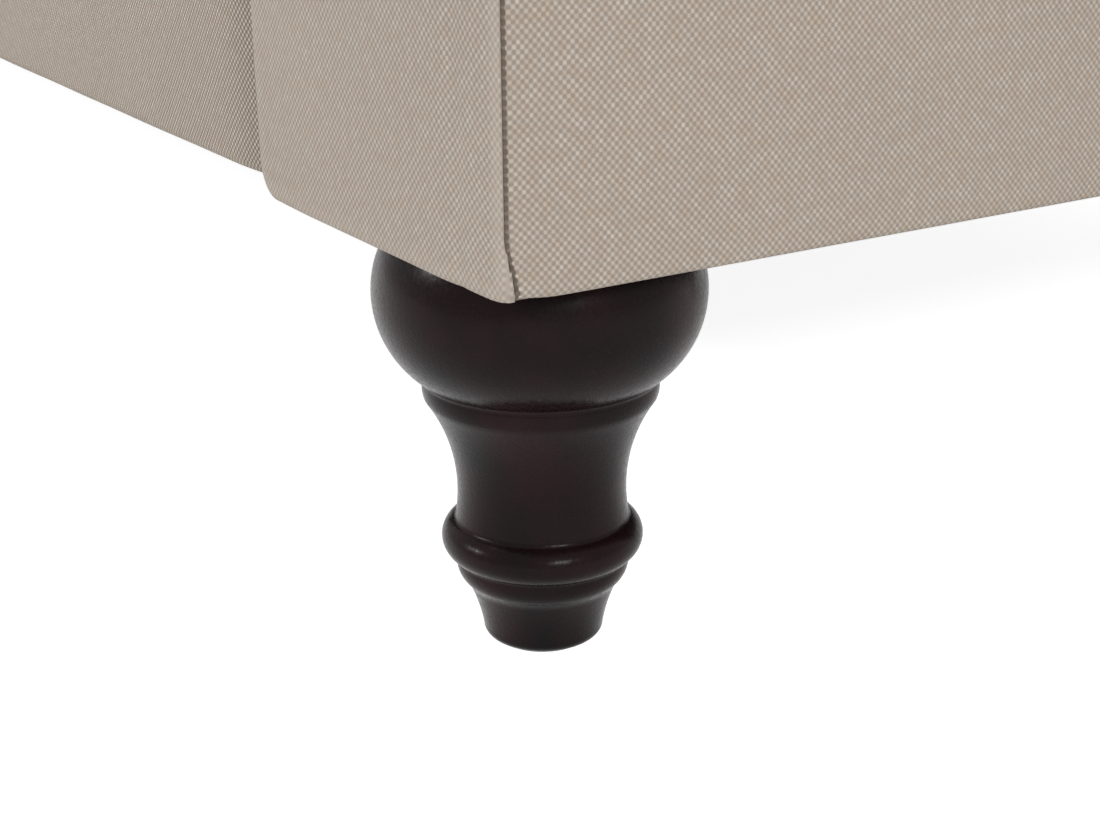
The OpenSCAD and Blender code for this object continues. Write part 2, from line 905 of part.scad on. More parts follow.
module back_buttons() {
    half = back_diamonds / 2;
    color(fabric_colour)
        for (place = button_places(half + 1, back_pitch)) {
            s = row_first_s + place[1] * row_pitch;
            p = button_point(place[0], s, back_pitch);
            x = roll_x - along(place[0], p[0], back_pitch);
            for (side = place[0] < half ? [-1, 1] : place[0] == half ? [1] : [])
                translate([side * x, roll_y - p[0], p[1]])
                    rotate([90 - face_angle(s), 0, 0]) button();
        }
}

module facing_pads() {
    color(foam_colour)
        both_sides()
            along_y(front_y + skin_t, board_y) arm_outline(skin_t + clear);
}
module arm_facing() {
    color(fabric_colour)
        difference() {
            along_y(front_y, frame_front_y) arm_outline(0);
            along_y(front_y + skin_t, frame_front_y + overrun) arm_outline(skin_t);
        }
}
module arm_facing_right() { arm_facing(); }
module arm_facing_left() { mirror([1, 0, 0]) arm_facing(); }

module outside_back_cover() {
    half = liner_x - clear;
    color(fabric_colour) {
        box([-half, liner_y, leg_h], [half, rear_y, cover_top_z]);
        box([-half, rear_y - turn_under, leg_h], [half, liner_y, frame_z]);
    }
}
module outside_arm_cover() {
    color(fabric_colour) {
        box([liner_x, front_y, leg_h], [side_x, rear_y, cover_top_z]);
        box(
            [side_x - turn_under, frame_front_y + clear, leg_h],
            [liner_x, rear_y - turn_under - clear, frame_z]
        );
    }
}
module outside_arm_cover_right() { outside_arm_cover(); }
module outside_arm_cover_left() { mirror([1, 0, 0]) outside_arm_cover(); }

module dust_cover() {
    half = side_x - turn_under - clear;
    color(black_colour)
        difference() {
            box(
                [-half, rail_cover_y + turn_under + clear, leg_h],
                [half, rear_y - turn_under - clear, frame_z]
            );
            at_legs()
                translate([0, 0, leg_h - overrun])
                    cylinder(r = bolt_r + clear, h = skin_t + 2 * overrun, $fn = round_fn);
        }
}

// Cushions. The plan is a rectangle with round corners
cushion_half_x = (deck_x + clear - arm_gap - cushion_gap) / 3;
cushion_half_y = (deck_y + clear - back_gap - rail_cover_y) / 2;
cushion_y = rail_cover_y + cushion_half_y;
cushion_z = deck_z + clear;
cushion_pitch = 2 * cushion_half_x + cushion_gap;
boxing_z = (cushion_foot + cushion_h - cushion_crown) / 2;
side_steps = 3;
crown_share = 0.6;

// Each ring is [share of the plan, drawn in, height above the underside]
function cushion_rings() =
    let (top = cushion_h - cushion_crown)
    concat(
        [[0.5, 0, 0], [0.93, cushion_draw, 0], [1, cushion_draw, cushion_foot]],
        [[1, 0, boxing_z - tape_w * 0.7], [1, 0, boxing_z + tape_w * 0.7]],
        [
            for (f = [1, 0.94, 0.8, 0.55, 0.25])
            [f, cushion_draw, top + cushion_crown * pow(1 - f * f, crown_share)]
        ]
    );
function cushion_plan(f, draw) =
    let (
        hx = (cushion_half_x - draw) * f,
        hy = (cushion_half_y - draw) * f,
        r = cushion_corner_r * f,
        corners = [for (c = [0:3]) arc(
            (c == 0 || c == 3 ? 1 : -1) * (hx - r),
            (c < 2 ? 1 : -1) * (hy - r),
            r, 90 * c, 90 * c + 90, 4
        )]
    )
    [
        for (c = [0:3]) each concat(
            corners[c],
            [
                for (k = [1:side_steps])
                let (from = corners[c][4], to = corners[(c + 1) % 4][0])
                from + (to - from) * k / (side_steps + 1)
            ]
        )
    ];
module cushion_form() {
    rings = cushion_rings();
    count = len(rings);
    n = len(cushion_plan(1, 0));
    points = [
        for (ring = rings) each
        [for (p = cushion_plan(ring[0], ring[1])) [p[0], p[1], ring[2]]]
    ];
    polyhedron(
        points = concat(points, [[0, 0, 0], [0, 0, cushion_h]]),
        faces = concat(
            [
                for (i = [0:count - 2]) for (j = [0:n - 1])
                let (a = i * n + j, b = i * n + (j + 1) % n)
                each [[a, a + n, b], [b, a + n, b + n]]
            ],
            [for (j = [0:n - 1]) [j, (j + 1) % n, count * n]],
            [
                for (j = [0:n - 1])
                let (last = (count - 1) * n)
                [last + (j + 1) % n, last + j, count * n + 1]
            ]
        )
    );
}
module core_block(grow) {
    hx = cushion_half_x - wrap_t + grow;
    hy = cushion_half_y - wrap_t + grow;
    box(
        [-hx, -hy, cushion_foot - grow],
        [hx, hy, cushion_h - cushion_crown - cushion_foot + grow]
    );
}
module cushion_cover(k) {
    color(fabric_colour)
        translate([k * cushion_pitch, cushion_y, cushion_z])
            difference() {
                cushion_form();
                core_block(clear);
            }
}
module cushion_core(k) {
    color(foam_colour)
        translate([k * cushion_pitch, cushion_y, cushion_z]) core_block(0);
}
module cushion_cover_left() { cushion_cover(-1); }
module cushion_cover_middle() { cushion_cover(0); }
module cushion_cover_right() { cushion_cover(1); }
module cushion_core_left() { cushion_core(-1); }
module cushion_core_middle() { cushion_core(0); }
module cushion_core_right() { cushion_core(1); }

// The zip lies along the middle of a cushion's back
module at_zip(k) {
    translate([
        k * cushion_pitch, cushion_y + cushion_half_y + clear / 2, cushion_z + boxing_z
    ])
        children();
}
module cushion_zip(k) {
    color(fabric_colour)
        at_zip(k) {
            box([-zip_len / 2, 0, -tape_w / 2], [zip_len / 2, tape_t, tape_w / 2]);
            box([-zip_len / 2, tape_t, -teeth_w / 2], [zip_len / 2, tape_t + teeth_t, teeth_w / 2]);
        }
}
module zip_slider(k) {
    half = teeth_w / 2 + clear;
    low = tape_t + clear;
    high = tape_t + teeth_t + clear;
    start = zip_len / 2 - slider_l;
    color(steel_colour)
        at_zip(k)
            translate([-start, 0, 0]) {
                box(
                    [0, high, -half - slider_wall],
                    [slider_l, high + slider_wall, half + slider_wall]
                );
                for (z = [-half - slider_wall, half])
                    box([0, low, z], [slider_l, high, z + slider_wall]);
                box(
                    [slider_l / 4, high, -half - slider_wall - pull_l],
                    [3 * slider_l / 4, high + slider_wall, -half - slider_wall]
                );
            }
}
module cushion_zip_left() { cushion_zip(-1); }
module cushion_zip_middle() { cushion_zip(0); }
module cushion_zip_right() { cushion_zip(1); }
module zip_slider_left() { zip_slider(-1); }
module zip_slider_middle() { zip_slider(0); }
module zip_slider_right() { zip_slider(1); }

leg_front_right();
leg_front_left();
leg_rear_right();
leg_rear_left();
felt_pads();
leg_bolts();
leg_inserts();
corner_blocks();
front_rail();
rear_rail();
side_rails();
spring_rail();
seat_braces();
back_posts();
arm_posts();
back_top_rail();
arm_top_rails();
roll_formers();
stuffing_rails();
arm_front_board_right();
arm_front_board_left();
outside_back_board();
outside_arm_boards();
seat_springs();
spring_clips();
back_webbing();
arm_webbing();
deck_cloth();
deck_pad();
deck_cover();
front_rail_pad();
front_rail_cover();
back_foam();
arm_foam_right();
arm_foam_left();
inside_back();
inside_arm_right();
inside_arm_left();
back_buttons();
arm_buttons_right();
arm_buttons_left();
facing_pads();
arm_facing_right();
arm_facing_left();
outside_back_cover();
outside_arm_cover_right();
outside_arm_cover_left();
dust_cover();
cushion_cover_left();
cushion_cover_middle();
cushion_cover_right();
cushion_core_left();
cushion_core_middle();
cushion_core_right();
cushion_zip_left();
cushion_zip_middle();
cushion_zip_right();
zip_slider_left();
zip_slider_middle();
zip_slider_right();
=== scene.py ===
import math

import bmesh
import bpy
import numpy as np
from mathutils import Matrix, Vector


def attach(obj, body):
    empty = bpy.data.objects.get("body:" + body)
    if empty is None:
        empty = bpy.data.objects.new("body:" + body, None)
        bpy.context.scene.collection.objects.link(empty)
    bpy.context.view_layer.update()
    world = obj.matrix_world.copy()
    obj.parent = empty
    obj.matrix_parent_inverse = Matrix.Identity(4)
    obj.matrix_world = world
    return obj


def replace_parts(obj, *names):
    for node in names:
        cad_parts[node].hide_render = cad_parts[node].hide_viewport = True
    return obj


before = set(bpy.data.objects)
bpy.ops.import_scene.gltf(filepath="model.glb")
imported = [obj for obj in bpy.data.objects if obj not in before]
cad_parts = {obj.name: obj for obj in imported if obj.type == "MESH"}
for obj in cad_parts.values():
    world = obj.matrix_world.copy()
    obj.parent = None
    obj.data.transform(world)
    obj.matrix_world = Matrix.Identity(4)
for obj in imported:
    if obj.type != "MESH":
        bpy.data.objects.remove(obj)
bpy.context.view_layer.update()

# Sizes are in millimetres, as on the drawing, and turned into metres with MM
MM = 0.001
CLEAR = 0.3

# Rolls of the arms and back
ROLL_R = 95.0
ROLL_X = 970.0
ROLL_Y = 335.0
ROLL_Z = 625.0
FACING_ROLL_R = 88.0

# Heights, widths and depths of the body
FABRIC_Z = 140.0
TUCK_Z = 298.3
DECK_Z = 310.0
SEAT_D = 150.0
SIDE_X = 990.0
LINER_X = 988.5
FRONT_Y = -430.0
RAIL_Y = -420.0
BOARD_Y = -422.0
FRAME_FRONT_Y = -404.0
REAR_Y = 355.0
DECK_X = 819.7
DECK_Y = 184.7

# Facing of an arm, inwards from the roll's centre line: foot, outer edge, corner's radius and middle
FACING_X = 827.0
FACING_FOOT_D = 143.0
FACING_OUTER = -18.2
FACING_CORNER = 12.0
FACING_MIDDLE = (40.0, 560.0)

# Where the facing's cloth turns from front to side, how wide its crown is, and its back's inset
FACING_WRAP_Y = -424.0
FACING_SOFT_W = 160.0
FACING_BACK_IN = 1.3

# The straight face of the padding meets the roll at START_ANGLE
TUCK_RISE = ROLL_Z - TUCK_Z
TUCK_FAR = math.hypot(SEAT_D, TUCK_RISE)
START_ANGLE = math.acos(ROLL_R / TUCK_FAR) - math.atan2(TUCK_RISE, SEAT_D)
END_ANGLE = math.radians(360) - math.acos(-20.0 / ROLL_R)
FACE_LEN = math.sqrt(TUCK_FAR ** 2 - ROLL_R ** 2)
END_S = FACE_LEN + ROLL_R * (END_ANGLE - START_ANGLE)
COVER_TOP_Z = ROLL_Z + ROLL_R * math.sin(END_ANGLE) - CLEAR

# Buttoning
ROWS = 6
ROW_PITCH = 80.0
ROW_LAST_S = FACE_LEN + ROLL_R * (math.pi / 2 - START_ANGLE) + ROW_PITCH
ROW_FIRST_S = ROW_LAST_S - (ROWS - 1) * ROW_PITCH
BACK_DIAMONDS = 11
ARM_DIAMONDS = 4.5
BACK_PITCH = 2 * ROLL_X / BACK_DIAMONDS
ARM_PITCH = (ROLL_Y - FRAME_FRONT_Y - CLEAR) / ARM_DIAMONDS
BUTTON_DEPTH = 22.0
PLEAT_DEPTH = 12.0
MITRE_DEPTH = 14.0
FOAM_INSET = 25.0
BUTTON_R = 11.0
BUTTON_H = 6.0
BUTTON_EDGE_R = 2.2

# Cushions
CUSHION_HALF_X = 271.8
CUSHION_HALF_Y = 299.0
CUSHION_PITCH = 2 * CUSHION_HALF_X + 1.5
CUSHION_Y = RAIL_Y + CUSHION_HALF_Y
CUSHION_Z = DECK_Z + CLEAR
CUSHION_H = 140.0
CUSHION_SQUARE = 16
CUSHION_OVER = 4.0
CUSHION_FRONT_OVER = 3.0

# The seam of an arm's outer corner: its place on the side, its bend at the bottom, and its shade
SEAM_Y = -429.0
SEAM_BEND = 3.2
SEAM_BEND_Z = 158.0
SEAM_SHADE_SHARE = 0.8

# By an arm's outer edge its front turns soft: across these places, and up to these heights
EDGE_X = (975.0, 987.0)
EDGE_Z = (520.0, 545.0)

# A crease runs up the arm's front near its outer edge: depth, width, distance in, and its lean
CREASE_DEPTH = 0.55
CREASE_W = 3.2
CREASE_IN = 23.0
CREASE_LEAN = 0.012
CREASE_Z = (470.0, 540.0)

# How far the front rail's padding draws back by the arms, over what width, and its round edges
RAIL_TUCK = 8.0
RAIL_TUCK_W = 55.0
RAIL_TOP_R = 13.0
RAIL_FOOT_R = 4.0

# Spacing of the cloth's threads
THREAD = 1.27

# Shares and small sizes of the buttoned padding
PLEAT_END_SHARE = 0.35
MITRE_REACH = 0.35
BUTTON_ZONE = 0.75
BUTTON_SEAT = 4.6
FRONT_DROP = 7.0
END_ROUND = 14.0

# Unevenness of each cloth: its layers of ripples, each a depth, a length and a seed
UNEVEN = {
    "buttoned": ((0.7, 46, 5), (0.5, 19, 8)),
    "facing": ((0.35, 70, 3),),
    "side": ((0.35, 110, 21), (0.2, 37, 22)),
    "rear": ((0.5, 130, 31),),
    "rail": ((0.5, 90, 41),),
    "lining": ((1.2, 240, 51),),
}

# Grid of a buttoned panel: steps across a diamond, and the step along the padding's path
GRID_STEPS = 28
GRID_STEP = 5.0

# Inset from the facing's outline, and how far the cloth there lies behind its front
FACING_EDGE = [(0.0, 1.7), (0.1, 1.1), (0.3, 0.7), (0.6, 0.42), (1.0, 0.25), (1.6, 0.12), (2.4, 0.04),
               (3.4, 0.0), (5.0, 0.0), (7.0, 0.0), (9.0, 0.0), (11.5, 0.0)]

# Legs
LEG_H = 140.0
LEG_X = 920.0
LEG_Y = {"front": -376.5, "rear": 301.5}
LEG_BOLT_R = 4.15
LEG_BOLT_DEPTH = 35.0
FELT_T = 1.2
FELT_R = 16.0

# Covers, cushions and zips
TURN_UNDER = 25.0
COVER_T = 1.1
LINING_T = 0.3
LINING_GAP = 0.6
LINING_SAG = 2.2
BOXING_Z = 62.0
SEAM_LOW = 9.0
SEAM_HIGH = 112.0
CUSHION_VOXEL = 8.0
CUSHION_CAP = 14.0
CUSHION_STEPS = 20
CUSHION_CLOTH = {
    "quality": 4, "mass": 0.3, "tension_stiffness": 12.0, "compression_stiffness": 12.0,
    "shear_stiffness": 5.0, "bending_stiffness": 0.4, "use_pressure": True, "uniform_pressure_force": 4.0,
}
CUSHION_SHRINK = 3.0
CUSHION_DIMPLE = 3.0
GROOVE_DEPTH = 3.2
GROOVE_W = 2.6
PUCKER_DEPTH = 0.5
PUCKER_LENGTH = 17.0
ZIP_HALF = 215.0
TOOTH_PITCH = 3.0
TOOTH_HALF = (1.0, 0.65, 1.55)
TAPE_HALF = (0.4, 5.3)
WELD = 0.02

# Colours of the cloth: its yarns, the shade between them, the cloth in a fold, and the painted shade of a
# seam and of the rail's weave
WARP_PALE = "#cdc3b7"
WARP_GREY = "#c6bbaf"
WARP_TAN = "#c6b6a5"
GAP = "#9c8f82"
FOLDED = "#bdb2a6"
SEAM_SHADE = "#5f544a"

# Depth of the weave, the painted light that its beads gain where shade is painted into its gaps, how much
# painted shade a seam puts in its gaps and on its beads, and the most painted shade that the cloth gets
CLOTH_RELIEF = 0.26
BEAD_PAINTED_LIGHT = 2.2
GAP_SHADE = 2.4
BEAD_SHADE = 0.2
MOST_SEAM_SHADE = 0.84

# Paint of the legs, and the depth of its grain and peel
PAINT_BLACK = "#0f0b0c"
PAINT_BROWN = "#241214"
PAINT_RELIEF = 0.05

# A grain that is the same every way, one drawn out along the sofa, and what makes a surface dull
EVEN = (1.0, 1.0, 1.0)
ALONG_X = (0.06, 1.0, 1.0)
DULL = {"Roughness": 0.95, "Specular IOR Level": 0.2}

# Camera, from the lines of the photograph: pixels, millimetres and degrees
PHOTO_WIDTH = 1100
FOCAL_PIXELS = 1750.0
CAMERA_PLACE = (1375.0, -655.0, 273.0)
CAMERA_HEADING = -58.22
CAMERA_TILT = 19.99
CAMERA_ROLL = -0.55
SENSOR = 36.0

# Light
WORLD_LIGHT = 0.45
FLOOR_LIFT = 0.88
FLOOR_REACH = 14.0

# Each lamp's place, aim and size in metres, and its power in watts
LAMPS = {
    "key_box": ((-0.9, -3.6, 1.9), (0.6, -0.3, 0.3), (0.9, 0.45), 43.0),
    "side_box": ((4.2, -0.9, 1.8), (0.9, 0.0, 0.3), (0.9, 0.45), 56.0),
    "top_box": ((0.3, -0.6, 3.6), (0.0, 0.0, 0.3), (2.8, 2.2), 45.0),
}

# The CAD nodes of each finish, inner ones too
FINISHES = {
    "zinc": ["leg_bolts", "leg_inserts", "seat_springs", "spring_clips", "zip_slider_left",
             "zip_slider_middle", "zip_slider_right"],
    "wood": ["corner_blocks", "front_rail", "rear_rail", "side_rails", "spring_rail", "seat_braces",
             "back_posts", "arm_posts", "back_top_rail", "arm_top_rails", "roll_formers",
             "stuffing_rails", "arm_front_board_right", "arm_front_board_left"],
    "board": ["outside_back_board", "outside_arm_boards"],
    "jute": ["back_webbing", "arm_webbing", "deck_cloth"],
    "foam": ["back_foam", "arm_foam_right", "arm_foam_left"],
}


def linear(hex_colour):
    """Linear RGBA of an sRGB hex colour: each channel through the sRGB curve."""
    channels = [int(hex_colour[i:i + 2], 16) / 255 for i in (1, 3, 5)]
    curve = [c / 12.92 if c <= 0.04045 else ((c + 0.055) / 1.055) ** 2.4 for c in channels]
    return (*curve, 1.0)


def set_tones(tone, *stops):
    """Sets the two ends of a colour ramp, each a place and a hex colour."""
    for element, (place, colour) in zip(tone.color_ramp.elements, stops):
        element.position = place
        element.color = linear(colour)


def add(tree, kind, inputs=None, **settings):
    """Adds a node: settings are its properties, inputs its socket values or the nodes linked to them."""
    node = tree.nodes.new("ShaderNode" + kind)
    for name, value in settings.items():
        setattr(node, name, value)
    for name, value in (inputs or {}).items():
        if isinstance(value, bpy.types.Node):
            value = value.outputs[0]
        if isinstance(value, bpy.types.NodeSocket):
            tree.links.new(value, node.inputs[name])
        else:
            node.inputs[name].default_value = value
    return node


def new_material(name):
    """An empty node material and its tree."""
    material = bpy.data.materials.new(name)
    material.use_nodes = True
    material.node_tree.nodes.clear()
    return material, material.node_tree


def finish_material(tree, colour, height, depth, sockets):
    """Principled surface with a colour, a bump whose depth is in millimetres, and constant sockets."""
    bump = add(tree, "Bump", {"Height": height, "Distance": depth * MM, "Strength": 1.0})
    surface = add(tree, "BsdfPrincipled", {"Base Color": colour, "Normal": bump, **sockets})
    add(tree, "OutputMaterial", {"Surface": surface})


def sofa_cloth():
    """Plain-woven upholstery cloth of thick matt yarn: pale dots of warp with shaded gaps between.

    The weave is dots where the product of two sine waves of the thread spacing is high. Its threads
    waver, the yarn changes tint along its length, each dot has its own strength, and fine fuzz breaks
    up the light. The attribute of folds and painted shade smooths the weave above zero. Below zero it
    deepens the weave's bump, paints shade into the gaps and paints light onto the beads of yarn, and
    near -1 it paints shade over both for a seam.
    """
    waver_mm, yarn_mm, cloud_mm, fuzz_mm = 9 * THREAD, 3.2 * THREAD, 55, 0.32
    waver = 0.55
    material, tree = new_material("sofa_cloth_plain_weave")
    uv = add(tree, "TexCoord").outputs["UV"]
    wander = add(tree, "TexNoise", {"Vector": uv, "Scale": 1 / (waver_mm * MM), "Detail": 2.0})
    shift = add(tree, "VectorMath", {0: wander.outputs["Color"], 1: (0.5, 0.5, 0.5)}, operation="SUBTRACT")
    bent = add(tree, "VectorMath", {0: shift, 1: (waver, waver, 0.0)}, operation="MULTIPLY")
    threads = add(tree, "VectorMath", {0: uv, 1: (1 / (THREAD * MM),) * 3}, operation="MULTIPLY")
    place = add(tree, "VectorMath", {0: threads, 1: bent}, operation="ADD")
    turns = add(tree, "VectorMath", {0: place, 1: (math.pi, math.pi, 0.0)}, operation="MULTIPLY")
    wave = add(tree, "VectorMath", {0: turns}, operation="SINE")
    parts = add(tree, "SeparateXYZ", {0: wave})
    over = add(tree, "Math", {0: parts.outputs["X"], 1: parts.outputs["Y"]}, operation="MULTIPLY")
    cell = add(tree, "VectorMath", {0: place}, operation="FLOOR")
    speck = add(tree, "TexWhiteNoise", {"Vector": cell}, noise_dimensions="2D")
    fold_and_shade = add(tree, "Attribute", attribute_name="fold_and_shade")
    dots = add(tree, "MapRange", {"Value": over, "From Min": -0.75, "From Max": 0.85},
               interpolation_type="SMOOTHSTEP")
    open_weave = add(tree, "Math", {0: 1.0, 1: fold_and_shade.outputs["Fac"]}, operation="SUBTRACT")
    yarn = add(tree, "TexNoise", {"Vector": uv, "Scale": 1 / (yarn_mm * MM), "Detail": 3.0})
    tint = add(tree, "ValToRGB", {"Fac": yarn})
    set_tones(tint, (0.36, WARP_TAN), (0.64, WARP_PALE))
    tint.color_ramp.elements.new(0.5).color = linear(WARP_GREY)
    strength = add(tree, "MapRange", {"Value": speck.outputs["Value"], "To Min": 0.72, "To Max": 1.0})
    show = add(tree, "Math", {0: dots, 1: strength}, operation="MULTIPLY")
    woven = add(tree, "MixRGB", {"Fac": show, "Color1": linear(GAP), "Color2": tint})
    cloudy = add(tree, "TexNoise", {"Vector": uv, "Scale": 1 / (cloud_mm * MM), "Detail": 3.0})
    shade = add(tree, "MapRange", {"Value": cloudy, "From Min": 0.3, "From Max": 0.7,
                                   "To Min": 0.985, "To Max": 1.015})
    toned = add(tree, "VectorMath", {0: woven, 1: shade}, operation="MULTIPLY")
    pressed = add(tree, "Math", {0: fold_and_shade.outputs["Fac"], 1: 0.6}, operation="MULTIPLY")
    smooth = add(tree, "MixRGB", {"Fac": pressed, "Color1": toned, "Color2": linear(FOLDED)})
    # Below zero the attribute paints shade into the gaps and light onto the beads, and near -1 shade over
    # both for a seam
    seam = add(tree, "MapRange", {"Value": fold_and_shade.outputs["Fac"], "From Min": 0.0, "From Max": -1.0})
    off_seam = add(tree, "Math", {0: 1.0, 1: seam}, operation="SUBTRACT")
    beads = add(tree, "Math", {0: dots, 1: off_seam}, operation="MULTIPLY")
    shade_weight = add(tree, "Math", {0: beads, 1: BEAD_SHADE - GAP_SHADE, 2: GAP_SHADE}, operation="MULTIPLY_ADD")
    painted_shade = add(tree, "Math", {0: seam, 1: shade_weight}, operation="MULTIPLY")
    shaded = add(tree, "Math", {0: painted_shade, 1: MOST_SEAM_SHADE}, operation="MINIMUM")
    painted_bead_light = add(tree, "Math", {0: seam, 1: beads}, operation="MULTIPLY")
    gain = add(tree, "Math", {0: painted_bead_light, 1: BEAD_PAINTED_LIGHT, 2: 1.0}, operation="MULTIPLY_ADD")
    beaded = add(tree, "VectorMath", {0: smooth, 1: gain}, operation="MULTIPLY")
    colour = add(tree, "MixRGB", {"Fac": shaded, "Color1": beaded, "Color2": linear(SEAM_SHADE)})
    fuzz = add(tree, "TexNoise", {"Vector": uv, "Scale": 1 / (fuzz_mm * MM), "Detail": 2.0})
    hairy = add(tree, "Math", {0: fuzz, 1: 0.35, 2: dots}, operation="MULTIPLY_ADD")
    height = add(tree, "Math", {0: hairy, 1: open_weave}, operation="MULTIPLY")
    finish_material(tree, colour, height, CLOTH_RELIEF,
                    {"Roughness": 0.92, "Specular IOR Level": 0.25, "Sheen Weight": 0.12,
                     "Sheen Roughness": 0.6})
    return material


def leg_paint():
    """Turned beech under satin near-black paint: a soft sheen broken up by grain and orange peel."""
    pore_mm, peel_mm, patch_mm = 0.9, 1.3, 38
    material, tree = new_material("espresso_satin_paint_on_beech")
    place = add(tree, "TexCoord").outputs["Object"]
    long_grain = add(tree, "Mapping", {"Vector": place, "Scale": (1.0, 1.0, 0.08)})
    pores = add(tree, "TexNoise", {"Vector": long_grain, "Scale": 1 / (pore_mm * MM), "Detail": 4.0})
    peel = add(tree, "TexNoise", {"Vector": place, "Scale": 1 / (peel_mm * MM), "Detail": 1.5})
    patches = add(tree, "TexNoise", {"Vector": place, "Scale": 1 / (patch_mm * MM), "Detail": 3.0})
    tone = add(tree, "ValToRGB", {"Fac": patches})
    set_tones(tone, (0.35, PAINT_BLACK), (0.68, PAINT_BROWN))
    wear = add(tree, "MapRange", {"Value": peel, "From Min": 0.3, "From Max": 0.7,
                                  "To Min": 0.16, "To Max": 0.3})
    rough = add(tree, "Math", {0: pores, 1: 0.06, 2: wear}, operation="MULTIPLY_ADD")
    height = add(tree, "Math", {0: pores, 1: 0.6, 2: peel}, operation="MULTIPLY_ADD")
    finish_material(tree, tone, height, PAINT_RELIEF, {"Roughness": rough, "Specular IOR Level": 0.08})
    return material


def plain_stuff(name, dark, light, grain, stretch, depth, sockets):
    """A finish of two tones, mixed by noise of one grain size that can be stretched along an axis."""
    material, tree = new_material(name)
    place = add(tree, "TexCoord").outputs["Object"]
    drawn = add(tree, "Mapping", {"Vector": place, "Scale": stretch})
    noise = add(tree, "TexNoise", {"Vector": drawn, "Scale": 1 / (grain * MM), "Detail": 4.0})
    tone = add(tree, "ValToRGB", {"Fac": noise})
    set_tones(tone, (0.32, dark), (0.68, light))
    finish_material(tree, tone, noise, depth, sockets)
    return material


def lining_cloth(name, dark, light, spacing, depth):
    """A coarse plain weave on object coordinates: crossed ribs of one spacing."""
    material, tree = new_material(name)
    place = add(tree, "TexCoord").outputs["Object"]
    turns = add(tree, "VectorMath", {0: place, 1: (math.pi / (spacing * MM),) * 3}, operation="MULTIPLY")
    wave = add(tree, "VectorMath", {0: turns}, operation="SINE")
    bulge = add(tree, "VectorMath", {0: wave}, operation="ABSOLUTE")
    size = add(tree, "VectorMath", {0: bulge, 1: (0.5, 0.5, 0.5)}, operation="DOT_PRODUCT")
    noise = add(tree, "TexNoise", {"Vector": place, "Scale": 1 / (spacing * MM), "Detail": 3.0})
    level = add(tree, "Math", {0: size.outputs["Value"], 1: noise}, operation="MULTIPLY")
    tone = add(tree, "ValToRGB", {"Fac": level})
    set_tones(tone, (0.15, dark), (0.62, light))
    finish_material(tree, tone, level, depth, DULL)
    return material


def ease(x, start, end):
    """0 before start, 1 after end, and a smooth S-curve between."""
    t = np.clip((x - start) / (end - start), 0, 1)
    return t * t * (3 - 2 * t)


def hump(x, centre, width):
    """A bell-shaped rise of 1 at the centre."""
    return np.exp(-((x - centre) / width) ** 2)


def ripple(a, b, length, seed):
    """Soft unevenness from -1 to 1: the mean of six plane waves with seeded directions."""
    seeded = np.random.default_rng(seed)
    turn, phase, size = seeded.uniform(0.0, 1.0, (3, 6))
    total = 0.0
    for k in range(6):
        heading = math.tau * turn[k]
        reach = a * math.cos(heading) + b * math.sin(heading)
        total = total + np.sin(math.tau * (reach / (length * (0.6 + size[k])) + phase[k]))
    return total / 6


def uneven(cloth, a, b):
    """How far one cloth stands out or in at two coordinates: the sum of its ripples."""
    return sum(depth * ripple(a, b, length, seed) for depth, length, seed in UNEVEN[cloth])


def line(start, end, count):
    """Evenly spaced points from start to end, without the end."""
    share = np.linspace(0, 1, count, endpoint=False)[:, None]
    return np.array(start) * (1 - share) + np.array(end) * share


def turn(centre, radius, from_degrees, to_degrees, count):
    """Points on an arc about a centre, without the last."""
    angle = np.radians(np.linspace(from_degrees, to_degrees, count, endpoint=False))
    return np.array(centre) + radius * np.stack([np.cos(angle), np.sin(angle)], -1)


def weave_map(points):
    """Weave coordinates of a grid: its mean lengths along the rows and down the columns."""
    along = np.linalg.norm(np.diff(points, axis=1), axis=2).mean(0)
    down = np.linalg.norm(np.diff(points, axis=0), axis=2).mean(1)
    u = np.concatenate([[0], np.cumsum(along)])
    v = np.concatenate([[0], np.cumsum(down)])
    return np.stack(np.meshgrid(u, v), -1)


def moved_in(points, thickness):
    """A grid moved along its normals, which are the cross products of its two directions."""
    normal = np.cross(np.gradient(points, axis=0), np.gradient(points, axis=1))
    size = np.linalg.norm(normal, axis=2, keepdims=True)
    return points + thickness * normal / np.maximum(size, 1e-9)


def shell(outer, inner, uv, fold_and_shade=None, rims=("first row", "last row", "first column", "last column")):
    """Patches of a closed layer: outer grid, inner grid, and strips that join their edges."""
    fold_and_shade = np.zeros(outer.shape[:2]) if fold_and_shade is None else fold_and_shade
    edges = {"first row": np.s_[0], "last row": np.s_[-1],
             "first column": np.s_[:, 0], "last column": np.s_[:, -1]}
    patches = [(outer, uv, fold_and_shade), (inner, uv, fold_and_shade)]
    for rim in rims:
        edge = edges[rim]
        patches.append([np.stack([part[edge], other[edge]])
                        for part, other in ((outer, inner), (uv, uv), (fold_and_shade, fold_and_shade))])
    return patches


def mirrored(patches):
    """The same patches on the other side of the sofa's middle."""
    return [(points * (-1, 1, 1), uv * (-1, 1), fold_and_shade) for points, uv, fold_and_shade in patches]


def grid_faces(points):
    """Quads that join neighbouring rows and columns of a grid, numbered row by row."""
    rows, columns = points.shape[:2]
    n = np.arange(rows * columns).reshape(rows, columns)
    return np.stack([n[:-1, :-1], n[1:, :-1], n[1:, 1:], n[:-1, 1:]], -1).reshape(-1, 4)


def put_in_scene(name, data):
    """An object of a mesh, lamp or camera, linked to the scene."""
    thing = bpy.data.objects.new(name, data)
    bpy.context.scene.collection.objects.link(thing)
    return thing


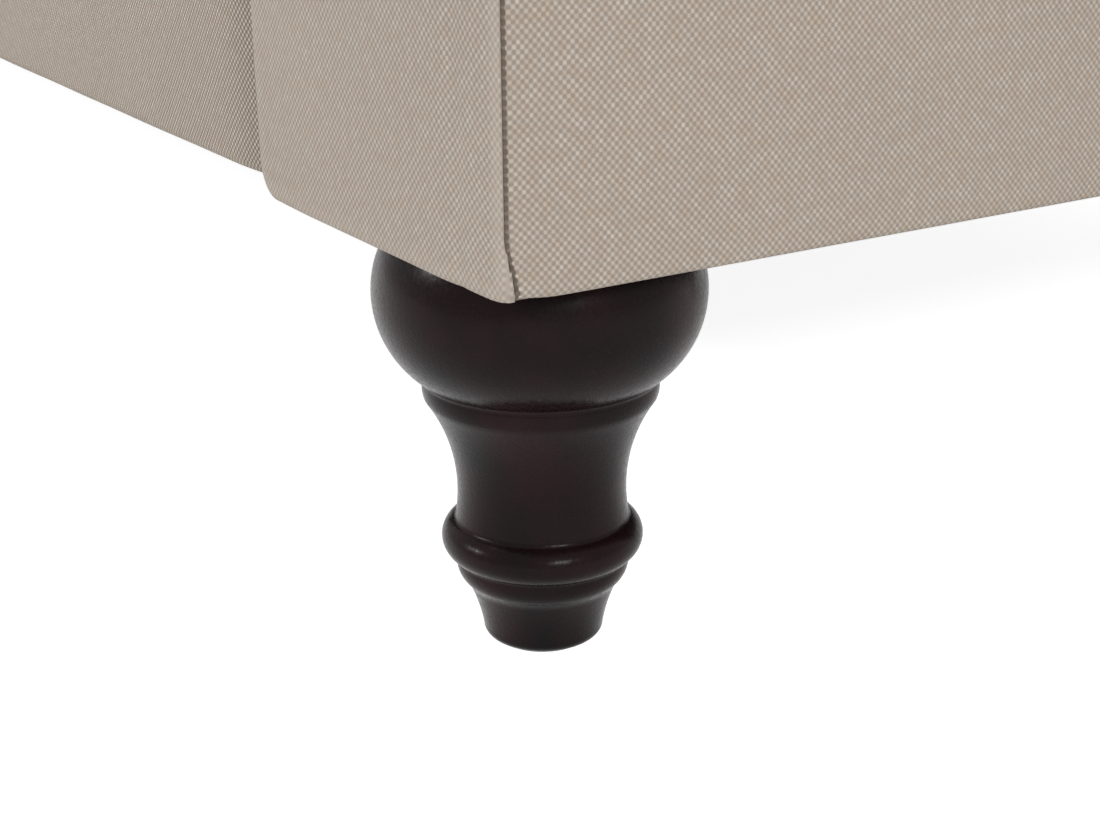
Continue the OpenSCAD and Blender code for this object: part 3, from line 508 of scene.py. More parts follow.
def weld(mesh, close_holes=False):
    """Merges a mesh's doubled points, closes its holes if asked, and turns its faces outwards."""
    form = bmesh.new()
    form.from_mesh(mesh)
    bmesh.ops.remove_doubles(form, verts=form.verts, dist=WELD * MM)
    if close_holes:
        bmesh.ops.holes_fill(form, edges=form.edges, sides=0)
    bmesh.ops.recalc_face_normals(form, faces=form.faces)
    form.to_mesh(mesh)
    form.free()


def mesh_piece(name, vertices, faces, corner_uv, fold_and_shade, material, body):
    """Makes a closed smooth mesh of quads in millimetres, welds it, and lets it ride on its body."""
    mesh = bpy.data.meshes.new(name)
    mesh.from_pydata((vertices * MM).tolist(), [], faces.tolist())
    layer = mesh.uv_layers.new(name="weave")
    layer.data.foreach_set("uv", (corner_uv * MM).ravel())
    mesh.attributes.new("fold_and_shade", "FLOAT", "POINT").data.foreach_set("value", fold_and_shade)
    weld(mesh)
    mesh.polygons.foreach_set("use_smooth", [True] * len(mesh.polygons))
    mesh.materials.append(material)
    thing = put_in_scene(name, mesh)
    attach(thing, body)
    return thing


def piece(name, patches, material, body="sofa"):
    """Joins grid patches that share their edges into one closed mesh."""
    faces = []
    start = 0
    for points, uv, fold_and_shade in patches:
        faces.append(grid_faces(points) + start)
        start += points.shape[0] * points.shape[1]
    vertices = np.concatenate([points.reshape(-1, 3) for points, uv, fold_and_shade in patches])
    uvs = np.concatenate([uv.reshape(-1, 2) for points, uv, fold_and_shade in patches])
    folds = np.concatenate([fold_and_shade.ravel() for points, uv, fold_and_shade in patches])
    faces = np.concatenate(faces)
    return mesh_piece(name, vertices, faces, uvs[faces.ravel()], folds, material, body)


def face_angle(s):
    """Slope of the padding's path: constant up the straight face, then a radian per roll radius."""
    return START_ANGLE + np.maximum(s - FACE_LEN, 0) / ROLL_R


def face_point(s, depth):
    """Distance inward from the roll's centre line, and height, at path length s and a depth under it."""
    a = face_angle(s)
    r = ROLL_R - depth
    below = np.maximum(FACE_LEN - s, 0)
    inward = r * np.cos(a) + below * np.sin(a)
    height = ROLL_Z + r * np.sin(a) - below * np.cos(a)
    return inward, np.maximum(height, TUCK_Z)


def along(q, d, pitch):
    """Distance from the mitre q pitches on; the first pitch starts on the mitre's slanting line."""
    return np.where(q >= 1, q * pitch, q * pitch + (1 - q) * (d + CLEAR / 2))


def tuft_depth(q, s, d, pitch):
    """Depth of the cloth below the padding's top.

    Pleats run where either of two diagonal sine waves is zero, the pillows rise between them
    as the square root of the waves' product, and the cloth is drawn deepest at each button.
    """
    t = (s - ROW_FIRST_S) / ROW_PITCH
    row = np.clip(t, 0, ROWS - 1)
    past = np.abs(t - row)
    u = math.pi * (q - 0.5 + row / 2)
    v = math.pi * (q - 0.5 - row / 2)
    pillow = np.sqrt(np.abs(np.sin(u) * np.sin(v)))
    pull = (np.cos(u) * np.cos(v)) ** 4 * np.maximum(0, 1 - 2 * past)
    fade = 1 - (1 - PLEAT_END_SHARE) * np.clip(past / 2, 0, 1)
    tuft = (1 - pillow) * PLEAT_DEPTH * fade + pull * (BUTTON_DEPTH - PLEAT_DEPTH)
    zone = np.clip((pitch - d) / pitch, 0, 1)
    share = np.where(q >= 1, 1, q + (1 - q) * zone)
    mitre = MITRE_DEPTH * np.maximum(0, 1 - q / MITRE_REACH) ** 2
    return np.minimum(BUTTON_DEPTH, share * tuft + mitre)


def tufted_panel(q, s, pitch, drop, calm):
    """Outer and inner grids of a buttoned panel, as (distance from the mitre, inward, height)."""
    q, s = np.meshgrid(q, s)
    d = face_point(s, 0)[0]
    depth = tuft_depth(q, s, d, pitch) * (1 - calm(q))
    soft = uneven("buttoned", q * pitch, s)
    depth = np.minimum(BUTTON_DEPTH, depth + soft * ease(depth, 0.5, 4) * (1 - ease(depth, 12, 20)) + drop(q))
    layers = []
    for under in (depth, np.full_like(depth, FOAM_INSET)):
        inward, height = face_point(s, under)
        layers.append(np.stack([along(q, inward, pitch), inward, height], -1))
    return layers, np.stack([q * pitch, s], -1), ease(depth, 15, 21) * 0.4


def samples(end, step):
    """Evenly spaced values from 0 to end, about one step apart."""
    return np.linspace(0, end, int(round(end / step)) + 1)


def arm_patches():
    """Patches of the right inside arm, from the mitre at the back to its rounded front end."""
    q = samples(ARM_DIAMONDS, 1 / GRID_STEPS)
    ends = np.array([0.0, 4.0, 7.0, 9.5, 11.5, 13.0, 13.8, END_ROUND]) / END_ROUND
    q = np.concatenate([q[q < ARM_DIAMONDS - END_ROUND / ARM_PITCH],
                        ARM_DIAMONDS - (END_ROUND / ARM_PITCH) * (1 - ends)])

    def drop(place):
        t = np.clip((place - ARM_DIAMONDS) * ARM_PITCH / END_ROUND + 1, 0, 1)
        return FRONT_DROP * (1 - np.sqrt(1 - t * t))

    def calm(place):
        return 0.8 * ease(place, ARM_DIAMONDS - 0.32, ARM_DIAMONDS)

    layers, uv, fold_and_shade = tufted_panel(q, samples(END_S, GRID_STEP), ARM_PITCH, drop, calm)
    grids = [np.stack([ROLL_X - g[..., 1], ROLL_Y - g[..., 0], g[..., 2]], -1) for g in layers]
    return shell(grids[0], grids[1], uv, fold_and_shade)


def back_patches():
    """Patches of the inside back, from mitre to mitre."""
    half = BACK_DIAMONDS / 2
    g = np.linspace(-half, half, BACK_DIAMONDS * GRID_STEPS + 1)

    def none(place):
        return 0.0 * place

    layers, uv, fold_and_shade = tufted_panel(half - np.abs(g), samples(END_S, GRID_STEP), BACK_PITCH, none, none)
    side = np.where(g < 0, -1, 1)
    grids = [np.stack([side * (ROLL_X - a[..., 0]), ROLL_Y - a[..., 1], a[..., 2]], -1) for a in layers]
    uv = np.stack([np.broadcast_to(g * BACK_PITCH, uv.shape[:2]), uv[..., 1]], -1)
    return shell(grids[0], grids[1], uv, fold_and_shade)


def button_form():
    """Profile of a covered button as (radius, height): a crimped rim, a rolled edge and a low dome."""
    rim = np.array([[0.0, -BUTTON_EDGE_R], [8.6, -BUTTON_EDGE_R], [10.2, -1.2]])
    edge = turn((BUTTON_R - BUTTON_EDGE_R, 1.0), BUTTON_EDGE_R, -60, 60, 7)
    share = np.linspace(0, 1, 8)[:, None]
    last = edge[-1]
    dome = np.concatenate([last[0] * np.cos(share * math.pi / 2),
                           last[1] + (BUTTON_H - last[1]) * np.sin(share * math.pi / 2)], 1)
    return np.concatenate([rim, edge, dome[1:]])


def button_patch(centre, out, across):
    """A button's profile turned about its axis, which points out of the padding."""
    profile = button_form()
    angle = np.linspace(0, math.tau, 21)
    radius, height = profile[:, :1, None], profile[:, 1:, None]
    up = np.cross(out, across)
    points = (centre + radius * np.cos(angle)[:, None] * across
              + radius * np.sin(angle)[:, None] * up + height * out)
    uv = np.stack([radius[..., 0] * np.cos(angle), radius[..., 0] * np.sin(angle)], -1)
    return points, uv + centre[:2], np.zeros(points.shape[:2])


def button_places(reach, pitch):
    """Buttons of one panel as (pitches from the mitre, path length), on a diamond lattice."""
    places = []
    for row in range(ROWS):
        s = ROW_FIRST_S + row * ROW_PITCH
        zone = np.clip((pitch - face_point(s, 0)[0]) / pitch, 0, 1)
        first = 0.5 if row % 2 == 0 else 1.0
        for q in np.arange(first, reach, 1.0):
            if q >= 1 or zone > BUTTON_ZONE:
                places.append((float(q), s))
    return places


def button_seat(q, s, pitch):
    """Where a button sits: distance from the mitre, inward, height, and its axis's angle."""
    depth = tuft_depth(q, s, face_point(s, 0)[0], pitch) - BUTTON_SEAT
    inward, height = face_point(s, depth)
    return float(along(q, inward, pitch)), float(inward), float(height), float(face_angle(s))


def arm_buttons():
    """Patches of the right arm's buttons."""
    patches = []
    for q, s in button_places(ARM_DIAMONDS, ARM_PITCH):
        reach, inward, height, a = button_seat(q, s, ARM_PITCH)
        centre = np.array([ROLL_X - inward, ROLL_Y - reach, height])
        out = np.array([-math.cos(a), 0.0, math.sin(a)])
        patches.append(button_patch(centre, out, np.array([0.0, 1.0, 0.0])))
    return patches


def back_buttons():
    """Patches of the back's buttons, on both sides of its middle."""
    patches = []
    half = BACK_DIAMONDS / 2
    for q, s in button_places(half + 0.1, BACK_PITCH):
        reach, inward, height, a = button_seat(q, s, BACK_PITCH)
        out = np.array([0.0, -math.cos(a), math.sin(a)])
        for side in ((1,) if q == half else (-1, 1)):
            centre = np.array([side * (ROLL_X - reach), ROLL_Y - inward, height])
            patches.append(button_patch(centre, out, np.array([1.0, 0.0, 0.0])))
    return patches


def facing_outline(inset):
    """Closed outline of an arm's front, in by an inset: foot, inner edge, sloped face, roll, outer edge."""
    outer = FACING_OUTER + inset
    inner = FACING_FOOT_D - inset
    r = FACING_ROLL_R - inset
    low = FABRIC_Z + inset
    corner = max(FACING_CORNER - inset, 0.0)
    knee = (inner - r * math.cos(START_ANGLE)) / math.sin(START_ANGLE)
    knee_z = ROLL_Z + r * math.sin(START_ANGLE) - knee * math.cos(START_ANGLE)
    last = 360 - math.degrees(math.acos(outer / r))
    first = math.degrees(START_ANGLE)
    start = (r * math.cos(START_ANGLE), ROLL_Z + r * math.sin(START_ANGLE))
    end = (outer, ROLL_Z + r * math.sin(math.radians(last)))
    return np.concatenate([
        line((outer, low), (inner - corner, low), 40),
        turn((inner - corner, low + corner), corner, -90, 0, 10),
        line((inner, low + corner), (inner, knee_z), 30),
        line((inner, knee_z), start, 44),
        turn((0.0, ROLL_Z), r, first, last, 90),
        line(end, (outer, low), 84),
        [(outer, low)],
    ])


def seam_place(z):
    """Where an arm's outer seam lies at a height."""
    return SEAM_Y + SEAM_BEND * (1 - ease(z, FABRIC_Z, SEAM_BEND_Z))


def by_outer_edge(points):
    """1 by the outer edge of an arm's front, and 0 further in and on the roll."""
    return ease(points[..., 0], *EDGE_X) * (1 - ease(points[..., 2], *EDGE_Z))


def facing_calm(points):
    """How far a facing's weave is smoothed: a little all over, and more by its outer edge."""
    return 0.25 + 0.3 * by_outer_edge(points)


def facing_soft(points):
    """Small shape of the facing's cloth: a crown, a crease by its outer edge, and a rounded corner.

    The cloth turns round the outer edge and dips into the seam on the side.
    """
    foot_lift, corner_in = 1.3, 1.2
    x, y, z = points[..., 0], points[..., 1], points[..., 2]
    from_seam = LINER_X - x
    crease_in = CREASE_IN + CREASE_LEAN * (z - FABRIC_Z)
    crease = CREASE_DEPTH * hump(from_seam, crease_in, CREASE_W) * (1 - ease(z, *CREASE_Z))
    soft = uneven("facing", x, z)
    crown = 0.8
    front = ease(y, BOARD_Y, FRONT_Y)
    away = np.minimum(from_seam, FACING_SOFT_W - from_seam)
    y = y + front * (crease + (soft - crown) * ease(away, 4, 40))
    lift = foot_lift * np.clip(1 - from_seam / 9, 0, 1) ** 2 * (1 - ease(z, 150, 190))
    seam = seam_place(z)
    round_edge = corner_in * by_outer_edge(points) * (1 - ease(y, seam - 1.0, seam - 0.1))
    return np.stack([x + round_edge, y, z + lift], -1)


def facing_patches():
    """Patches of the right facing: a front of nested outlines, a wrapped wall, and its back."""
    rings = [(inset, FRONT_Y + behind) for inset, behind in FACING_EDGE]
    rings.reverse()
    outlines = [np.insert(facing_outline(inset), 1, y, axis=1) for inset, y in rings]
    middle = np.insert(FACING_MIDDLE, 1, FRONT_Y)
    core_rings = 30
    share = np.linspace(0, 1, core_rings, endpoint=False)[:, None, None]
    core = middle + share * (outlines[0] - middle)
    front = np.concatenate([core, np.stack(outlines)])
    wall_rows = (*np.arange(rings[-1][1], FACING_WRAP_Y, 0.25), -418.0, -411.0, FRAME_FRONT_Y - CLEAR)
    wall = np.stack([np.insert(facing_outline(0.0), 1, y, axis=1) for y in wall_rows])
    back = np.stack([np.insert(facing_outline(FACING_BACK_IN), 1, y, axis=1)
                     for y in (FRAME_FRONT_Y - CLEAR, -413.0, BOARD_Y - CLEAR)])
    share = np.linspace(1, 0, 5)[1:, None, None]
    floor = np.insert(FACING_MIDDLE, 1, BOARD_Y - CLEAR)
    back = np.concatenate([back, floor + share * (back[-1] - floor)])
    rim = np.stack([wall[-1], back[0]])
    patches = []
    for part in (front, wall, back, rim):
        place = np.stack([ROLL_X - part[..., 0], part[..., 1], part[..., 2]], -1)
        uv = weave_map(place) if part is wall else place[..., [0, 2]]
        patches.append((facing_soft(place), uv, np.zeros(place.shape[:2])))
    points, uv, fold_and_shade = patches[0]
    inset = np.concatenate([np.full(core_rings, 30.0), [r[0] for r in rings]])[:, None]
    patches[0] = (points, uv, (1 - ease(inset, 3.0, 7.0)) * facing_calm(points))
    points, uv, fold_and_shade = patches[1]
    # Painted shade in the outer seam: the wall darkens towards it by the outer edge
    seam = seam_place(points[..., 2])
    dark = ease(points[..., 1], seam - 0.5, seam)
    calm = facing_calm(points) * (1 - dark)
    patches[1] = (points, uv, calm - SEAM_SHADE_SHARE * dark * by_outer_edge(points))
    return patches


def cover_section():
    """Section of an outside cover as (outward, height): turned under, round the edge, and up."""
    low, round_r = FABRIC_Z + 0.3, 2.6
    return np.concatenate([
        line((-TURN_UNDER, low + 0.7), (-8.0, low + 0.5), 5),
        line((-8.0, low + 0.5), (-round_r, low), 3),
        turn((-round_r, low + round_r), round_r, -90, 0, 7),
        line((0.0, low + round_r), (0.0, low + 30), 22),
        line((0.0, low + 30), (0.0, COVER_TOP_Z), 60),
        [(0.0, COVER_TOP_Z)],
    ])


def lip(run):
    """How far a cover's cut edge rolls in towards its seam, over the first millimetres of its run."""
    return np.interp(run, [0.0, 0.5, 1.0, 1.6, 2.4, 3.6], [1.45, 0.85, 0.42, 0.15, 0.03, 0.0])


def cover_runs(length):
    """Places across a cover: close together by both seams, then about 8 mm apart."""
    near = np.array([0.0, 0.25, 0.5, 0.75, 1.0, 1.3, 1.6, 2.0, 2.4, 3.0, 3.6, 5.0, 7.0, 9.0, 12.0])
    inner = np.linspace(16.0, length - 16.0, int(length / 8))
    return np.concatenate([near, inner, length - near[::-1]])


def side_patches():
    """Patches of the right outside arm cover, drawn a little tight above its bottom corner."""
    corner_lift_w, foot_drop = 7.0, 0.15
    length = REAR_Y - SEAM_Y - 0.4
    run = cover_runs(length)
    section = cover_section()
    across, up = np.meshgrid(run, section[:, 1])
    outward = np.repeat(section[:, :1], len(run), 1)
    y = seam_place(up) * (1 - across / length) + SEAM_Y * across / length + across
    rise = 1 - ease(up, 150, 200)
    up = up + (hump(y, FACING_WRAP_Y, corner_lift_w) - foot_drop) * rise
    puff = uneven("side", y, up)
    puff = puff * ease(across, 3, 30) * ease(length - across, 3, 30) * ease(outward, -3, -0.1)
    x = SIDE_X + outward - lip(across) - lip(length - across) + puff - CLEAR
    outer = np.stack([x, y, up], -1)
    inner = moved_in(outer, COVER_T)
    # Painted shade in the seam along the cover's front edge
    fold_and_shade = -SEAM_SHADE_SHARE * (1 - ease(across, 0.35, 1.3))
    return shell(outer, inner, np.stack([y, weave_map(outer)[..., 1]], -1), fold_and_shade)


def rear_patches():
    """Patches of the outside back cover."""
    half = LINER_X - CLEAR
    run = cover_runs(2 * half)
    section = cover_section()
    across, up = np.meshgrid(run, section[:, 1])
    outward = np.repeat(section[:, :1], len(run), 1)
    x = half - across
    puff = uneven("rear", x, up) * ease(across, 3, 40) * ease(2 * half - across, 3, 40)
    puff = puff * ease(outward, -3, -0.1)
    y = REAR_Y + outward - lip(across) - lip(2 * half - across) + puff - CLEAR
    outer = np.stack([x, y, up], -1)
    inner = moved_in(outer, COVER_T)
    return shell(outer, inner, np.stack([x, weave_map(outer)[..., 1]], -1))


def rail_patches():
    """Patches of the padded front rail: its soft section carried from facing to facing.

    The padding draws back towards each facing, as the square of what is left of the tuck's width.
    Its weave gets painted shade in its gaps and painted light on its beads all along, and a painted
    shadow of the facings close by them.
    """
    corner_lift, rail_gap_shade, facing_shadow = 0.4, 0.2, 0.1
    back_y = FRAME_FRONT_Y - CLEAR
    face = np.concatenate([
        line((RAIL_Y + TURN_UNDER, FABRIC_Z + 1.0), (RAIL_Y + RAIL_FOOT_R, FABRIC_Z + 0.1), 8),
        turn((RAIL_Y + RAIL_FOOT_R, FABRIC_Z + RAIL_FOOT_R), RAIL_FOOT_R, 270, 180, 8),
        line((RAIL_Y, FABRIC_Z + RAIL_FOOT_R), (RAIL_Y, DECK_Z - RAIL_TOP_R), 34),
        turn((RAIL_Y + RAIL_TOP_R, DECK_Z - RAIL_TOP_R), RAIL_TOP_R, 180, 90, 12),
        [(RAIL_Y + RAIL_TOP_R, DECK_Z), (back_y, DECK_Z)],
    ])
    core = face.copy()
    under = np.arange(len(face)) < 8
    core[:, 0] = np.where(under, face[:, 0], back_y)
    core[:, 1] = np.where(under, FABRIC_Z + 1.4, np.clip(face[:, 1], FABRIC_Z + 1.4, DECK_Z - 1.2))
    half = FACING_X - CLEAR
    near = np.array([0.0, 1.0, 2.5, 4.5, 7.0, 10.0, 14.0, 19.0])
    x = np.concatenate([near - half, np.linspace(-half + 25, half - 25, 220), half - near[::-1]])
    layers = []
    for section in (face, core):
        wide, z = np.meshgrid(x, section[:, 1])
        y = np.repeat(section[:, :1], len(x), 1)
        layers.append(np.stack([wide, y, z], -1))
    outer = layers[0]
    wide, y, z = outer[..., 0], outer[..., 1], outer[..., 2]
    to_facing = half - np.abs(wide)
    front = np.clip((back_y - y) / (back_y - RAIL_Y), 0, 1)
    tuck = RAIL_TUCK * np.clip(1 - to_facing / RAIL_TUCK_W, 0, 1) ** 2
    outer[..., 1] = y + (uneven("rail", wide, z) + tuck) * front
    outer[..., 2] = z + corner_lift * (1 - ease(to_facing, 3, 32)) * (1 - ease(z, 150, 180))
    uv = np.stack([wide, weave_map(outer)[..., 1]], -1)
    # Painted shade in the gaps and painted light on the beads all along the rail, and a painted shadow by
    # each facing
    return shell(outer, layers[1], uv, -(rail_gap_shade + facing_shadow * (1 - ease(to_facing, 15, 50))))


def slab_patches(low, high, crown, edge, count, seed):
    """Patches of a flat soft layer with rounded edges: its top falls off near them, and it is crowned."""
    a, b = np.meshgrid(np.linspace(-1, 1, count[0]), np.linspace(-1, 1, count[1]))
    reach = 1 - (1 - np.abs(np.stack([a, b]))) ** 1.6
    x = (low[0] + high[0]) / 2 + np.sign(a) * reach[0] * (high[0] - low[0]) / 2
    y = (low[1] + high[1]) / 2 + np.sign(b) * reach[1] * (high[1] - low[1]) / 2
    away = np.minimum(np.minimum(x - low[0], high[0] - x), np.minimum(y - low[1], high[1] - y))
    fall = edge * (1 - np.sqrt(np.clip(1 - (1 - np.clip(away / edge, 0, 1)) ** 2, 0, 1)))
    top = high[2] - fall - crown * (0.5 + 0.5 * ripple(x, y, 260, seed)) * ease(away, 0, 60)
    outer = np.stack([x, y, top], -1)
    inner = np.stack([x, y, np.full_like(x, low[2])], -1)
    return shell(outer, inner, np.stack([x, y], -1))


def lining_patches():
    """Patches of the dust cover under the frame: it hangs a little between the legs."""
    inside = TURN_UNDER + LINING_GAP
    half = SIDE_X - inside
    low, high = RAIL_Y + inside, REAR_Y - inside
    x, y = np.meshgrid(np.linspace(-half, half, 150), np.linspace(low, high, 60))
    from_leg = np.hypot(np.abs(x) - LEG_X, np.minimum(*(np.abs(y - place) for place in LEG_Y.values())))
    away = np.minimum(np.minimum(half - np.abs(x), y - low), high - y)
    sag = (LINING_SAG + uneven("lining", x, y)) * ease(away, 4, 120) * ease(from_leg, 60, 130)
    outer = np.stack([x, y, FABRIC_Z + COVER_T - sag], -1)
    return shell(outer, outer + (0, 0, LINING_T), np.stack([x, y], -1))


def turned_patch(profile, centre, count):
    """A profile of (radius, height) turned about an upright axis through a place on the floor."""
    angle = np.linspace(0, math.tau, count + 1)
    radius, height = profile[:, :1], profile[:, 1:]
    points = np.stack([centre[0] + radius * np.cos(angle), centre[1] + radius * np.sin(angle),
                       height + 0 * angle], -1)
    return points, points[..., :2], np.zeros(points.shape[:2])


def felt_profile():
    """Half section of a felt disc with a soft rounded rim."""
    low_r, top_r = 0.5, 0.6
    return np.concatenate([
        [(0.0, 0.0)],
        turn((FELT_R - low_r, low_r), low_r, -90, 0, 4),
        turn((FELT_R - top_r, FELT_T - top_r), top_r, 0, 90, 4),
        [(0.0, FELT_T)],
    ])


def leg_profile():
    """Half section of a turned leg: foot, lip, ring, neck, collar and bun, then the bolt's hole.

    The foot is a line drawn in a little as a parabola, and the rest are arcs. The arcs of the neck
    and the bun start and end at the angles where they reach their neighbours' heights.
    """
    foot_r, foot_edge, foot_top, foot_hollow, foot_points = 20.1, 3.5, (25.24, 21.27), 2.6, 14
    lip_centre, lip_r = (20.7, 28.0), 8.0
    ring_centre, ring_r = (26.4, 37.0), 7.0
    neck_centre, neck_r, neck_low_z = (84.1, 54.0), 56.3, 43.58
    collar_h, collar_out, collar_r, collar_half_angle, step = 6.4, 38.4, 8.833, 21.24, 0.6
    bun_centre, bun_r, bun_foot_in, bun_top_angle, bun_top_r = (18.8, 121.0), 34.5, 20.2, 33.42, 47.6
    foot_low = FELT_T + foot_edge
    share = np.linspace(0, 1, foot_points, endpoint=False)
    foot = line((foot_r, foot_low), foot_top, foot_points)
    foot[:, 0] -= foot_hollow * share * (1 - share)
    bun_low = -math.degrees(math.acos(bun_foot_in / bun_r))
    collar_top = bun_centre[1] + bun_r * math.sin(math.radians(bun_low)) - step
    neck_top_z = collar_top - collar_h - step
    neck_low, neck_high = (180 - math.degrees(math.asin((z - neck_centre[1]) / neck_r))
                           for z in (neck_low_z, neck_top_z))
    bolt_top = LEG_H - LEG_BOLT_DEPTH
    return np.concatenate([
        [(0.0, FELT_T)],
        turn((foot_r - foot_edge, foot_low), foot_edge, -90, 0, 8),
        foot,
        turn(lip_centre, lip_r, -50, 14, 14),
        turn(ring_centre, ring_r, -70, 70, 22),
        turn(neck_centre, neck_r, neck_low, neck_high, 30),
        turn((collar_out - collar_r, collar_top - collar_h / 2), collar_r,
             -collar_half_angle, collar_half_angle, 10),
        turn(bun_centre, bun_r, bun_low, bun_top_angle, 44),
        [(bun_top_r, LEG_H), (LEG_BOLT_R, LEG_H), (LEG_BOLT_R, bolt_top), (0.0, bolt_top)],
    ])


def block_faces(centres, halves):
    """Vertices and quads of a row of small blocks: each corner is the centre plus or minus the halves."""
    signs = np.array([[x, y, z] for x in (-1, 1) for y in (-1, 1) for z in (-1, 1)])
    vertices = (centres[:, None] + signs * halves).reshape(-1, 3)
    quads = np.array([[0, 1, 3, 2], [4, 6, 7, 5], [0, 4, 5, 1], [2, 3, 7, 6], [0, 2, 6, 4], [1, 5, 7, 3]])
    faces = (8 * np.arange(len(centres))[:, None, None] + quads).reshape(-1, 4)
    return vertices, faces


def zip_piece(side, middle_x, material):
    """A zip along a cushion's back: two woven tapes, and a coil of teeth along their meeting line.

    The lower tape's teeth stand half a pitch along from the upper tape's.
    """
    y = CUSHION_Y + CUSHION_HALF_Y + CLEAR / 2
    z = CUSHION_Z + BOXING_Z
    along_x = np.arange(-ZIP_HALF + 2, ZIP_HALF - 1, TOOTH_PITCH)
    teeth = np.stack([middle_x + along_x, np.full_like(along_x, y + 1.3), np.full_like(along_x, z)], -1)
    upper, upper_faces = block_faces(teeth + (0, 0, 0.85), np.array(TOOTH_HALF))
    lower, lower_faces = block_faces(teeth + (TOOTH_PITCH / 2, 0, -0.85), np.array(TOOTH_HALF))
    tape_y = y + TAPE_HALF[0]
    tape_off = TAPE_HALF[1] + 0.4
    tape_at = np.array([[middle_x, tape_y, z + tape_off], [middle_x, tape_y, z - tape_off]])
    tape, tape_faces = block_faces(tape_at, np.array([ZIP_HALF, *TAPE_HALF]))
    vertices = np.concatenate([upper, lower, tape])
    faces = np.concatenate([upper_faces, lower_faces + len(upper),
                            tape_faces + len(upper) + len(lower)])
    uvs = vertices[faces.ravel()][:, [0, 2]]
    thing = mesh_piece("zip_" + side, vertices, faces, uvs, np.zeros(len(vertices)), material,
                       "cushion_" + side)
    thing.data.polygons.foreach_set("use_smooth", [False] * len(thing.data.polygons))
    return thing


def cushion_start(shrink):
    """Boxed cushion before it is filled: rounded rectangles carried up its sides and over its top.

    Each level is a rectangle with round corners; the last levels close to the middle of the top,
    which rises as 1 - f squared to the power 0.6, with f the share of the rectangle.
    """
    levels = np.array([
        (0.02, 0), (0.3, 0), (0.6, 0), (0.85, 0), (0.97, 1), (1.0, 6), (1.0, 30), (1.0, 62),
        (1.0, 94), (1.0, 113), (0.985, 119), (0.95, 124), (0.85, 131), (0.7, 136), (0.5, 138.5),
        (0.3, 139.6), (0.1, 140), (0.02, 140),
    ])
    half_x, half_y = CUSHION_HALF_X - shrink, CUSHION_HALF_Y - shrink
    angle = np.linspace(0, math.tau, 121)
    power = 2 / CUSHION_SQUARE
    x = np.sign(np.cos(angle)) * np.abs(np.cos(angle)) ** power * half_x
    y = np.sign(np.sin(angle)) * np.abs(np.sin(angle)) ** power * half_y
    f, z = levels[:, :1], levels[:, 1:]
    z = shrink + z * (CUSHION_H - 2 * shrink) / CUSHION_H
    return np.stack([f * x, f * y, z + 0 * x], -1)


def blow_up(thing):
    """Pushes a cushion's cloth out by an even pressure for a few steps of a cloth simulation.

    No point moves further than the cap, or nearer to the cushion's middle.
    """
    before = vertex_places(thing.data)
    cloth = thing.modifiers.new("filling", "CLOTH")
    for name, value in CUSHION_CLOTH.items():
        setattr(cloth.settings, name, value)
    cloth.settings.effector_weights.gravity = 0.0
    for step in range(1, CUSHION_STEPS + 1):
        bpy.context.scene.frame_set(step)
    settle(thing)
    move = vertex_places(thing.data) - before
    size = np.linalg.norm(move, axis=1, keepdims=True)
    after = before + move * np.minimum(1, CUSHION_CAP * MM / np.maximum(size, 1e-9))
    middle = np.array([0.0, 0.0, CUSHION_H / 2]) * MM
    reach = np.maximum(np.abs(before - middle), np.abs(after - middle))
    after = middle + np.sign(before - middle) * reach
    thing.data.vertices.foreach_set("co", after.ravel())
    bpy.context.scene.frame_set(1)


def filled_cushion():
    """Vertices and quads of a cushion: evenly remeshed, blown up by its filling, and divided once."""
    start = cushion_start(CUSHION_SHRINK)
    mesh = bpy.data.meshes.new("cushion_trial")
    mesh.from_pydata((start.reshape(-1, 3) * MM).tolist(), [], grid_faces(start).tolist())
    weld(mesh, close_holes=True)
    thing = put_in_scene("cushion_trial", mesh)
    remesh = thing.modifiers.new("even", "REMESH")
    remesh.mode = "VOXEL"
    remesh.voxel_size = CUSHION_VOXEL * MM
    settle(thing)
    blow_up(thing)
    division = thing.modifiers.new("finer", "SUBSURF")
    division.levels = 1
    division.render_levels = 1
    settle(thing)
    faces = np.zeros(len(thing.data.polygons) * 4, int)
    thing.data.polygons.foreach_get("vertices", faces)
    vertices = vertex_places(thing.data) / MM
    bpy.data.objects.remove(thing)
    return vertices, faces.reshape(-1, 4)


def vertex_places(mesh):
    """A mesh's vertices as one array."""
    places = np.zeros(len(mesh.vertices) * 3)
    mesh.vertices.foreach_get("co", places)
    return places.reshape(-1, 3)


def settle(thing):
    """Makes what the modifiers show the object's own mesh, and takes the modifiers off."""
    shown = thing.evaluated_get(bpy.context.evaluated_depsgraph_get())
    done = bpy.data.meshes.new_from_object(shown)
    thing.modifiers.clear()
    thing.data = done


